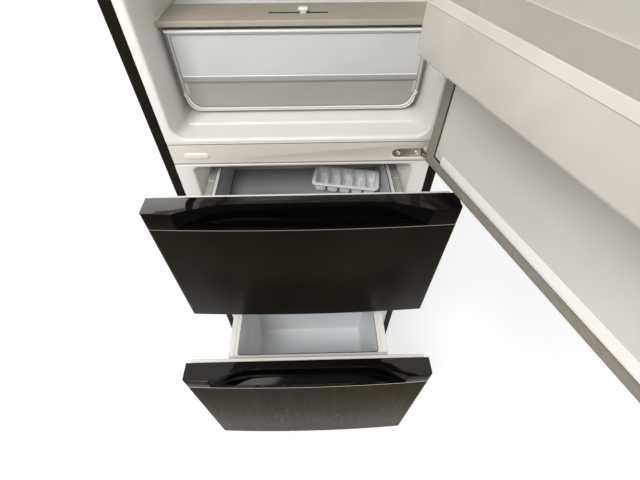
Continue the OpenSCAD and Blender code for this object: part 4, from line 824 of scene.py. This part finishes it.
def cross_rail():
    """Cross rail with a shallow groove along both edges and the recess of the hinge plate; painted shade
    darkens the grooves and a painted highlight lightens the recess's bevel.
    """
    bm = bmesh.new()
    block(bm, around(FLANGE_HALF), (0, 12), RAIL_Z, 0.6, "y", 2.2, 0.3)
    cut = bmesh.new()
    loft(cut, [(rounded_loop(189.4 - g, 257 + g, 898.6 - g, 923 + g, (11 + g, 4, 4, 11 + g), 6), y)
               for y, g in ((-4, 3.0), (0, 3.0), (1.7, 0.2), (2.0, 0.0))], "y")
    cut = boolean(cut, prism([(249, -6), (285, -6), (285, 2), (249, 2)], 905.6, 909.4), "UNION")
    for z in GROOVES:
        block(cut, around(280), (-3, 1.3), around(0.8, z), 0.4, "x")
    bm = boolean(bm, cut, own=True)
    # Painted shade: the grooves' faces are grey
    paint(bm, 1, lambda c: 0.05 < c.y < 1.6 and min(abs(c.z - z) for z in GROOVES) < 1.1)
    # Painted highlight: the recess's bevel is whiter
    paint(bm, 2, lambda c: 0.3 < c.y < 1.95 and 184 < c.x < 262 and 894 < c.z < 927)
    piece("cross_rail", bm, ["rail", "mark", "cap"], "centre_rail", soft=0.4)


def drawer_divider():
    """Rail between the drawers, whose ends follow the flared mouth."""
    front = 239.6
    back = 240 - 16 * 40 / 45 - 0.4
    rings = []
    for z, i in ((498, 3), (498.9, 0.9), (501, 0), (550, 0), (552.1, 0.9), (553, 3)):
        rings.append(([(front - i, i * 0.4), (back - i, 40 - i * 0.2), (-back + i, 40 - i * 0.2),
                       (-front + i, i * 0.4)], z))
    bm = bmesh.new()
    loft(bm, rings)
    piece("drawer_divider", bm, "rail", "divider_rail", soft=2.0)


def oval_cap():
    """Slightly domed cap with two pegs over the unused hinge place."""
    dome = [(0.0, 0.0), (-1.3, 0.15), (-2.1, 0.9), (-2.7, 2.3), (-3.0, 4.2), (-3.1, 6.2)]
    bm = bmesh.new()
    loft(bm, [(rounded_loop(-249 + i, -197 - i, 903 + i, 917 - i, 7 - i, 8), y) for y, i in dome], "y")
    for x in (-235, -211):
        lathe(bm, (x, HINGE_Z), [(3, -0.1), (3, 7.4), (2.4, 8)], "y", 20)
    piece("oval_cap", bm, "cap", "rail_hole_cap")


def middle_hinge():
    """Plate with a round end, folded arm and pin."""
    arm = [(252, 1.6), (277, 1.6), (277, -6), (294, -22)]
    arm += [(PIN.x + 13 * math.cos(math.radians(a)), PIN.y + 13 * math.sin(math.radians(a)))
            for a in range(0, -181, -15)]
    arm += [(266, -24), (256, -10)]
    fold = [([(-0.4, 901.5), (1.6, 901.5), (1.6, 919), (-0.4, 919)], 252),
            ([(-17, 905), (-14.5, 905), (-14.5, 911.5), (-17, 911.5)], 268)]
    bm = bmesh.new()
    block(bm, (191, 256), (0, 2), (900, 920), (10, 2, 2, 10), "y", 0.5, 0, 8)
    loft(bm, [(arm, 906.0), (arm, 909.0)])
    loft(bm, fold, "x")
    lathe(bm, (PIN.x, PIN.y), [(8, 908.9), (8, 910.5), (5, 911.5), (5, 929), (3.8, 931)])
    piece("middle_hinge", bm, "nickel", "middle_hinge_bracket", soft=0.5)


def hinge_screws():
    """Cross-recess screws of both hinges."""
    head = [(4.5, 0.0), (4.5, -0.5), (4.1, -1.1), (3.0, -1.6), (1.2, -1.8)]
    long, thin = 2.4, 0.5
    bm = bmesh.new()
    for x in SCREW_XS:
        lathe(bm, (x, HINGE_Z), [(2.5, 11.5), (2.5, 0.2)] + head, "y", 28)
    for x, y in TOP_SCREWS:
        lathe(bm, (x, y), [(2.5, 1873.5), (2.5, 1887.8)] + [(r, 1888 - v * 1.35) for r, v in head], "z", 28)
    cross = bmesh.new()
    for x in SCREW_XS:
        block(cross, around(long, x), (-3, -0.9), around(thin, HINGE_Z), 0.2, "y")
        block(cross, around(thin, x), (-3, -0.9), around(long, HINGE_Z), 0.2, "y")
    for x, y in TOP_SCREWS:
        block(cross, around(long, x), around(thin, y), (1889.4, 1892), 0.2, "z")
        block(cross, around(thin, x), around(long, y), (1889.4, 1892), 0.2, "z")
    piece("screws", boolean(bm, cross, own=True), "screw", "hinge_screws", soft=0.15)


def build_cabinet():
    fridge_liner()
    freezer_liner()
    cross_rail()
    drawer_divider()
    oval_cap()
    middle_hinge()
    hinge_screws()


# Crisper
COVER_HALF = 255.5
COVER_LOW = 1133.5
COVER_TOP = 1136.5
CRISPER_FRONT = 92
CRISPER_FOOT = 961.5
CRISPER_RIM = 1115.5
CRISPER_TOP = 1120
CROSS_BAR_HALF = 236


def crisper_cover():
    """Cover over the crisper with a rolled front edge, the slider's slot darkened with painted shade, and
    pale side edges as a painted highlight.
    """
    section = [(85.0, 1127.2), (85.7, 1126.5), (86.8, 1126.5), (87.5, 1127.2), (87.5, 1132.7),
               (88.3, COVER_LOW), (182.5, COVER_LOW), (183, 1134), (183, 1136), (182.5, COVER_TOP),
               (88.0, COVER_TOP), (86.5, 1136.1), (85.4, 1135.0), (85.0, COVER_LOW)]
    bm = bmesh.new()
    loft(bm, [(section, -COVER_HALF), (section, COVER_HALF)], "x")
    slot = bmesh.new()
    block(slot, around(56), (121.6, 128.4), (1132, 1150), 3.3, "z", 0, 0, 6)
    bm = boolean(bm, slot)
    # Painted shade: a thin sheet under the slot, painted dark together with the slot's walls below
    block(bm, around(60), (118, 132), (1133.0, 1133.6), 1, "z")
    twin(bm, (252.5, COVER_HALF), (88, 182.5), (1129.5, 1133.6), 0.5, "z")
    for f in bm.faces:
        c = f.calc_center_median()
        in_slot = abs(f.normal.z) < 0.5 and 121 < c.y < 129
        under_slot = 1132.9 < c.z < 1133.7 and 117 < c.y < 133
        if abs(c.x) < 61 and (in_slot or under_slot):
            f.material_index = 1
    # Painted highlight: pale strips along the cover's side edges
    painted(bm, 2, lambda: twin(bm, (252.6, COVER_HALF), (87, 182.5), (1136.0, 1137.3), 0.6, "y", 0.5, 0.5))
    piece("crisper_top_plate", bm, ["cover", "dark_plastic", "liner"], "crisper_cover", soft=0.4)


def slot_ticks():
    """Five tick marks behind the slot."""
    bm = bmesh.new()
    for x in range(-44, 45, 22):
        block(bm, around(0.6, x), (131.5, 136.5), (1136.3, 1136.7), 0.5, "z")
    piece("slot_ticks", bm, "mark", body="cabinet")


def slot_slider():
    """Knob, its broader head, the neck through the slot and the foot below it."""
    bm = bmesh.new()
    block(bm, (3, 15), (120, 130), (1136.8, 1141.6), 2, "z", 0, 0, 5)
    block(bm, (0, 18), (118, 131.5), (1141, 1145.5), 3, "z", 0.8, 1.8, 5)
    block(bm, (3, 15), (122.8, 127.2), (1131.5, 1137.5), 0.6, "z")
    block(bm, (1, 17), (119, 131), (1131.2, 1133.2), 1, "z")
    piece("slot_slider", bm, "white", "humidity_slider")


def crisper_outline(i):
    """Crisper front in x and z: wide above the step, narrower with round corners below it."""
    wide, narrow, r = 247 - i, 242 - i, 25
    foot = [(narrow - r + r * math.cos(a), CRISPER_FOOT + i + r - r * math.sin(a))
            for a in (math.radians(v) for v in (0, 22.5, 45, 67.5, 90))]
    right = [(wide, CRISPER_TOP - i), (wide, 1003), (wide - 1.5, 997), (narrow, 991)] + foot
    return right + [(-x, z) for x, z in reversed(right)]


def front_ring(bm, inset, width, proud):
    """Raised line on the crisper front that follows its outline."""
    y0, y1 = CRISPER_FRONT + 0.3, CRISPER_FRONT - proud
    lines = [(inset, y0), (inset, y1), (inset + width, y1), (inset + width, y0)]
    loft(bm, [(crisper_outline(i), y) for i, y in lines], "y", True)


def crisper_shade_lines(bm):
    """Painted shade: dark lines inside the raised ones, along the upright edges where the gap to the liner
    lies in shadow, and under the cross bar.
    """
    front_ring(bm, 2.8, 1.0, 0.5)
    front_ring(bm, 7.8, 1.3, 0.6)
    twin(bm, (243.8, 246.8), (90.4, 92.3), (999, 1115), 0.6, "z", 0.4, 0.4)
    block(bm, around(CROSS_BAR_HALF), (89.6, 92.5), (1023.0, 1025.6), 0.6, "x", 0.5, 0.5)


def crisper_shade_field(bm):
    """Painted shade: a greyer field below the cross bar, where the shaded floor shows through, and the
    bar's own shaded face.
    """
    block(bm, around(232), (91.5, 92.4), (971.5, 1023), (17, 17, 1, 1), "y", 0, 0, 6)
    block(bm, around(CROSS_BAR_HALF), (89.8, 90.2), (1025.8, 1034), 0.15, "x", 0.5, 0.5)


def crisper_drawer():
    """Clear drawer with a thick front, rim, cross bar, runners, and painted highlight and shade lines along
    its edges.
    """
    bm = bmesh.new()
    solid(bm, crisper_outline, CRISPER_FRONT, 95, 0.8, 0, "y")
    tub(bm, around(242), (92.6, 417), (CRISPER_FOOT, 1117), 2.5, (3, 3, 14, 14), foot=22, n=4)
    block(bm, around(247), (88, 95), (CRISPER_RIM, CRISPER_TOP), 2, "x", 1, 1)
    block(bm, around(CROSS_BAR_HALF), (90, 92.5), (1024.5, 1036.5), (1.2, 1, 1, 1.2), "x", 1.5, 1.5)
    front_ring(bm, 0.4, 2.2, 1.2)
    front_ring(bm, 4.0, 3.4, 0.9)
    # Painted highlight: the rim's top, the cross bar's top and the raised rings below the bar take the
    # denser, brighter plastic
    paint(bm, 1, lambda c: c.y < 95.2 and (c.z > CRISPER_RIM - 0.1 or 1033.5 < c.z < 1037))
    paint(bm, 1, lambda c: c.y < CRISPER_FRONT - 0.1 and c.z < 1024)
    # Painted shade: dark lines along the edges and under the cross bar
    painted(bm, 2, lambda: crisper_shade_lines(bm))
    # Painted shade: greyer field below the cross bar and on the bar's face
    painted(bm, 3, lambda: crisper_shade_field(bm))
    twin(bm, (212, 224), (104, 407), (953.8, 962.5), 1.5, "y", 2, 2)
    piece("crisper_box", bm, ["clear", "clear_edge", "clear_shade_line", "clear_shade_field"], "crisper_drawer")


def build_crisper():
    crisper_cover()
    slot_ticks()
    slot_slider()
    crisper_drawer()


# Freezer drawers
DRAWER_FRONT = 14.3
DRAWER_BACK = 425.3
LOWER_TOP = 488
BAR_OUTSIDE = 204
BAR_BACK = 415


def drawer_bars(name, node, x0, z0, z1, ledge=None):
    """White bars along a drawer's sides, a ledge under the basket's lip, and the steel slide tongues."""
    mid = z1 - 28
    bm = bmesh.new()
    twin(bm, (x0, BAR_OUTSIDE), (14, BAR_BACK), (z0, z1), 1.6, "y", 1.5, 1.5)
    if ledge:
        twin(bm, (x0 - 6.5, x0 + 1), (14, BAR_BACK), ledge, 0.8, "y")
    twin(bm, (203, 207.6), (20, BAR_BACK), around(12, mid), 1.2, "y", 0.8, 0.8)
    paint(bm, 1, lambda c: abs(c.x) > BAR_OUTSIDE + 0.05)
    piece(name, bm, ["bar", "slide"], node)


def upper_basket():
    """Basket of the upper drawer, hung from its lip at both sides."""
    bm = bmesh.new()
    tub(bm, around(196.2), (DRAWER_FRONT, DRAWER_BACK), (570, 840), 2.2, 16, foot=12, lip=(7.6, 0.0),
        lip_t=2)
    # Painted shade: the body takes the darker copy, the lip takes the lighter one
    paint(bm, 1, lambda c: c.z > 837)
    piece("upper_box", bm, ["basket", "basket_wall"], "upper_basket")


def tray_shade_lines(bm):
    """Painted shade: dark lines along both sides of the tray, outside and inside its rim and along its
    floor, where gaps and the foot lie in shadow.
    """
    for x, z in (((199.3, 201.0), (841.6, 843.5)), ((190.4, 192.1), (841.4, 843.5)),
                 ((185.2, 186.8), (768.2, 769.6))):
        twin(bm, x, (20, 248), z, 0.3, "y")


def sliding_tray():
    """Half-depth tray whose rim runs on the basket's lip."""
    bm = bmesh.new()
    tub(bm, around(193.5), (18, 250), (766.3, 843.3), 2.0, 12, foot=7, lip=(6.5, 0.0), n=6)
    # Painted shade: the floor keeps the darker copy, and the walls, rear wall and rim take the lighter one
    paint(bm, 1, lambda c: abs(c.x) > 187 or c.y > 244 or c.z > 841)
    # Painted shade lines along both sides
    painted(bm, 2, lambda: tray_shade_lines(bm))
    piece("half_tray", bm, ["basket", "basket_wall", "dark_plastic"], "sliding_tray")


def ice_tray():
    """Tray of five cells, drawn around its middle and laid askew on the sliding tray."""
    cells = (-60, -30, 0, 30, 60)
    bm = bmesh.new()
    block(bm, around(81.5), around(37.5), (25, 29), 12, "z", 0.8, 1.2, 6)
    cut = bmesh.new()
    for x in cells:
        block(cut, around(12.4, x), around(30.4), (20, 35), 7, "z", 0, 0, 5)
    bm = boolean(bm, cut)
    for x in cells:
        tub(bm, around(14, x), around(32), (0, 28.2), 1.6, 8.5, foot=10)
    bm.transform(Matrix.Translation((103, 169.4, 768.6)) @ Matrix.Rotation(math.radians(-10.2), 4, "Z"))
    piece("cube_tray", bm, "ice", "ice_tray", soft=0.5, angle=40)


def rounded_box(half, y, z, r, foot):
    """Box with rounded upright edges and a rounded foot."""
    bm = bmesh.new()
    solid(bm, lambda i: rounded_loop(-half + i, half - i, y[0] + i, y[1] - i, max(r - i, 0.5), 5),
          z[0], z[1], foot, 0, n=4)
    return bm


def lower_basket():
    """Deep front half and a shallower rear half over the step, with a lip all round."""
    front = DRAWER_FRONT
    body = boolean(rounded_box(180.5, (front, 249.3), (160, 400), 7, 9),
                   rounded_box(180.5, (front, DRAWER_BACK), (364.5, LOWER_TOP), 7, 8), "UNION")
    room = boolean(rounded_box(178.3, (front + 2.2, 247.1), (162.2, 400), 5, 7),
                   rounded_box(178.3, (front + 2.2, DRAWER_BACK - 2.2), (366.7, 500), 5, 6), "UNION")
    bm = boolean(body, room)
    lip = [(0.0, 485.0), (0.0, 487.4), (0.6, LOWER_TOP), (11.3, LOWER_TOP), (11.9, 487.4), (11.9, 485.0)]
    loft(bm, [(rounded_loop(-190.2 + i, 190.2 - i, front + i * 0.18, DRAWER_BACK - i * 0.18, 7, 5), z)
              for i, z in lip], "z", True)
    paint(bm, 1, lambda c: c.z > 484.5)
    piece("lower_box", bm, ["basket_pale", "bar"], "lower_basket")


def build_freezer_drawers():
    upper_basket()
    drawer_bars("upper_bars", "upper_drawer_rails", 196.5, 783, 838)
    sliding_tray()
    ice_tray()
    lower_basket()
    drawer_bars("lower_bars", "lower_drawer_rails", 190.5, 433, LOWER_TOP, (480.7, 484.7))


# Thin trim inside the fridge
def shelf_edge(number, level):
    """Strip along the front edge of a glass shelf."""
    bm = bmesh.new()
    block(bm, around(254), (107, 114.5), (level - 2.5, level + 6.5), (2.5, 1.5, 1.5, 2.5), "x", 1.2, 1.2)
    piece("shelf_edge_%d" % number, bm, "clear_edge", body="cabinet")


def lamp_lens():
    """Ribbed lens of the lamp on the ceiling."""
    bm = bmesh.new()
    block(bm, around(65), (300, 352), (1838.5, 1846), 12, "z", 2.5, 0, 6)
    for x in range(-48, 49, 12):
        block(bm, around(1.5, x), (308, 344), (1837.6, 1839), 1.2, "z", 0.5, 0)
    piece("lamp_lens", bm, "clear_edge", body="cabinet")


def build_trim():
    for number, level in enumerate(SHELF_LEVELS[1:], 1):
        shelf_edge(number, level)
    lamp_lens()


# CAD nodes that keep their shape
NODE_LOOK = {
    "outer_casing": "casing", "rear_panel": "zinc", "base_frame": "base", "insulation_foam": "foam",
    "top_hinge_bracket": "nickel", "top_hinge_cover": "gloss", "glass_shelves": "glass",
    "air_duct_cover": "liner", "control_panel": "white", "temperature_dial": "white",
    "evaporator": "fin", "evaporator_cover": "duct", "fan_rotor": "duct", "fan_motor": "dark_metal",
    "compressor": "dark_metal", "compressor_mounts": "rubber", "condenser": "dark_metal",
    "drip_tray": "dark_plastic", "front_foot_left": "dark_plastic", "front_foot_right": "dark_plastic",
    "roller_left": "dark_plastic", "roller_right": "dark_plastic",
    "cabinet_slides": "slide", "upper_middle_slides": "slide", "lower_middle_slides": "slide",
}
SOFT_EDGE = {"outer_casing": 1.2, "control_panel": 2.0, "air_duct_cover": 1.5, "top_hinge_cover": 1.5}


def dress_node(name, look):
    """Gives a CAD node its material, merges its flat triangles and softens its edges."""
    obj = NODES[name]
    obj.data.materials.clear()
    obj.data.materials.append(LOOKS[look])
    weld = obj.modifiers.new("weld", "WELD")
    weld.merge_threshold = 0.00002
    flat = obj.modifiers.new("flat", "DECIMATE")
    flat.decimate_type = "DISSOLVE"
    flat.angle_limit = math.radians(1)
    soften(obj, SOFT_EDGE.get(name, 0.6), 40)


def dress_nodes():
    for name, look in NODE_LOOK.items():
        dress_node(name, look)


# Studio, in metres
MIDDLE = (0.24, 0.23)
FLOOR_REACH = 40.0
FLOOR_CORNERS = 64
FLOOR_COLOR = (0.97, 0.97, 0.97)
GLOW = 1.3
GLOW_NEAR = (1.2, 0.42)
GLOW_FAR = (7.0, 0.85)
AMBIENT = 0.6
FOCAL_PIXELS = 352.0
FRAME_PIXELS = 640.0
SENSOR = 36.0
CAMERA_AT = (0.261693, -0.675112, 1.356516)
CAMERA_RIGHT = (0.999681, -0.025242, -0.001143)
CAMERA_UP = (0.019867, 0.757284, 0.652783)
CAMERA_AHEAD = (0.015612, 0.652598, -0.757544)


def shown_directly(tree):
    """1 for camera, glossy and transmission rays, else 0."""
    path = tree.nodes.new("ShaderNodeLightPath")
    first = calc(tree, "MAXIMUM", (path, "Is Camera Ray"), (path, "Is Glossy Ray"))
    return calc(tree, "MAXIMUM", (first, 0), (path, "Is Transmission Ray"))


def white_world(scene):
    """Even ambient light that is plain white where it is seen directly."""
    world = bpy.data.worlds.new("studio")
    scene.world = world
    world.use_nodes = True
    tree = world.node_tree
    background = tree.nodes["Background"]
    background.inputs["Color"].default_value = (1, 1, 1, 1)
    level = map_range(tree, shown_directly(tree), 0, to_min=AMBIENT)
    link(tree, level, "Result", background, "Strength")


def floor_material():
    """White floor that keeps the shadow near the object and fades into the white background."""
    m = bpy.data.materials.new("floor_white")
    m.use_nodes = True
    tree = m.node_tree
    shader = tree.nodes["Principled BSDF"]
    shader.inputs["Base Color"].default_value = (*FLOOR_COLOR, 1)
    shader.inputs["Roughness"].default_value = 0.9
    glow = tree.nodes.new("ShaderNodeEmission")
    glow.inputs["Color"].default_value = (1, 1, 1, 1)
    glow.inputs["Strength"].default_value = GLOW
    coords = tree.nodes.new("ShaderNodeTexCoord")
    far = tree.nodes.new("ShaderNodeVectorMath")
    far.operation = "LENGTH"
    link(tree, coords, "Object", far, 0)
    fade = map_range(tree, far, "Value", GLOW_NEAR[0], GLOW_FAR[0], GLOW_NEAR[1], GLOW_FAR[1])
    share = calc(tree, "MULTIPLY", (shown_directly(tree), 0), (fade, "Result"))
    mix = tree.nodes.new("ShaderNodeMixShader")
    link(tree, share, 0, mix, "Fac")
    link(tree, shader, "BSDF", mix, 1)
    link(tree, glow, "Emission", mix, 2)
    link(tree, mix, "Shader", tree.nodes["Material Output"], "Surface")
    return m


def floor(scene):
    """Flat round floor around the object."""
    x, y = MIDDLE
    turns = [2 * math.pi * k / FLOOR_CORNERS for k in range(FLOOR_CORNERS)]
    verts = [(x + FLOOR_REACH * math.cos(a), y + FLOOR_REACH * math.sin(a), 0.0) for a in turns]
    mesh = bpy.data.meshes.new("floor")
    mesh.from_pydata(verts, [], [list(range(FLOOR_CORNERS))])
    mesh.materials.append(floor_material())
    obj = bpy.data.objects.new("floor", mesh)
    scene.collection.objects.link(obj)


def lamp(scene, name, at, aim, size, power):
    """Round area lamp that points from one place to another."""
    data = bpy.data.lights.new(name, "AREA")
    data.shape = "DISK"
    data.size = size
    data.energy = power
    obj = bpy.data.objects.new(name, data)
    scene.collection.objects.link(obj)
    obj.location = at
    obj.rotation_mode = "QUATERNION"
    obj.rotation_quaternion = (Vector(aim) - Vector(at)).to_track_quat("-Z", "Y")


def camera(scene):
    """Camera at the place and angle that were solved from the photograph."""
    data = bpy.data.cameras.new("camera")
    data.sensor_width = SENSOR
    data.lens = FOCAL_PIXELS / FRAME_PIXELS * SENSOR
    obj = bpy.data.objects.new("camera", data)
    scene.collection.objects.link(obj)
    turn = Matrix((Vector(CAMERA_RIGHT), Vector(CAMERA_UP), -Vector(CAMERA_AHEAD))).transposed().to_4x4()
    obj.matrix_world = Matrix.Translation(CAMERA_AT) @ turn
    scene.camera = obj


def build_studio():
    scene = bpy.context.scene
    scene.view_settings.view_transform = "Standard"
    white_world(scene)
    floor(scene)
    lamp(scene, "key", (-0.45, -1.55, 2.7), (0.24, -0.1, 0.9), 1.1, 45)
    lamp(scene, "fill", (2.8, -2.0, 2.6), (0.24, 0.0, 0.8), 2.2, 15)
    lamp(scene, "rim", (-2.0, 2.0, 3.0), (0.24, 0.2, 1.0), 1.6, 16)
    camera(scene)


build_fronts()
build_door()
build_cabinet()
build_crisper()
build_freezer_drawers()
build_trim()
dress_nodes()
build_studio()
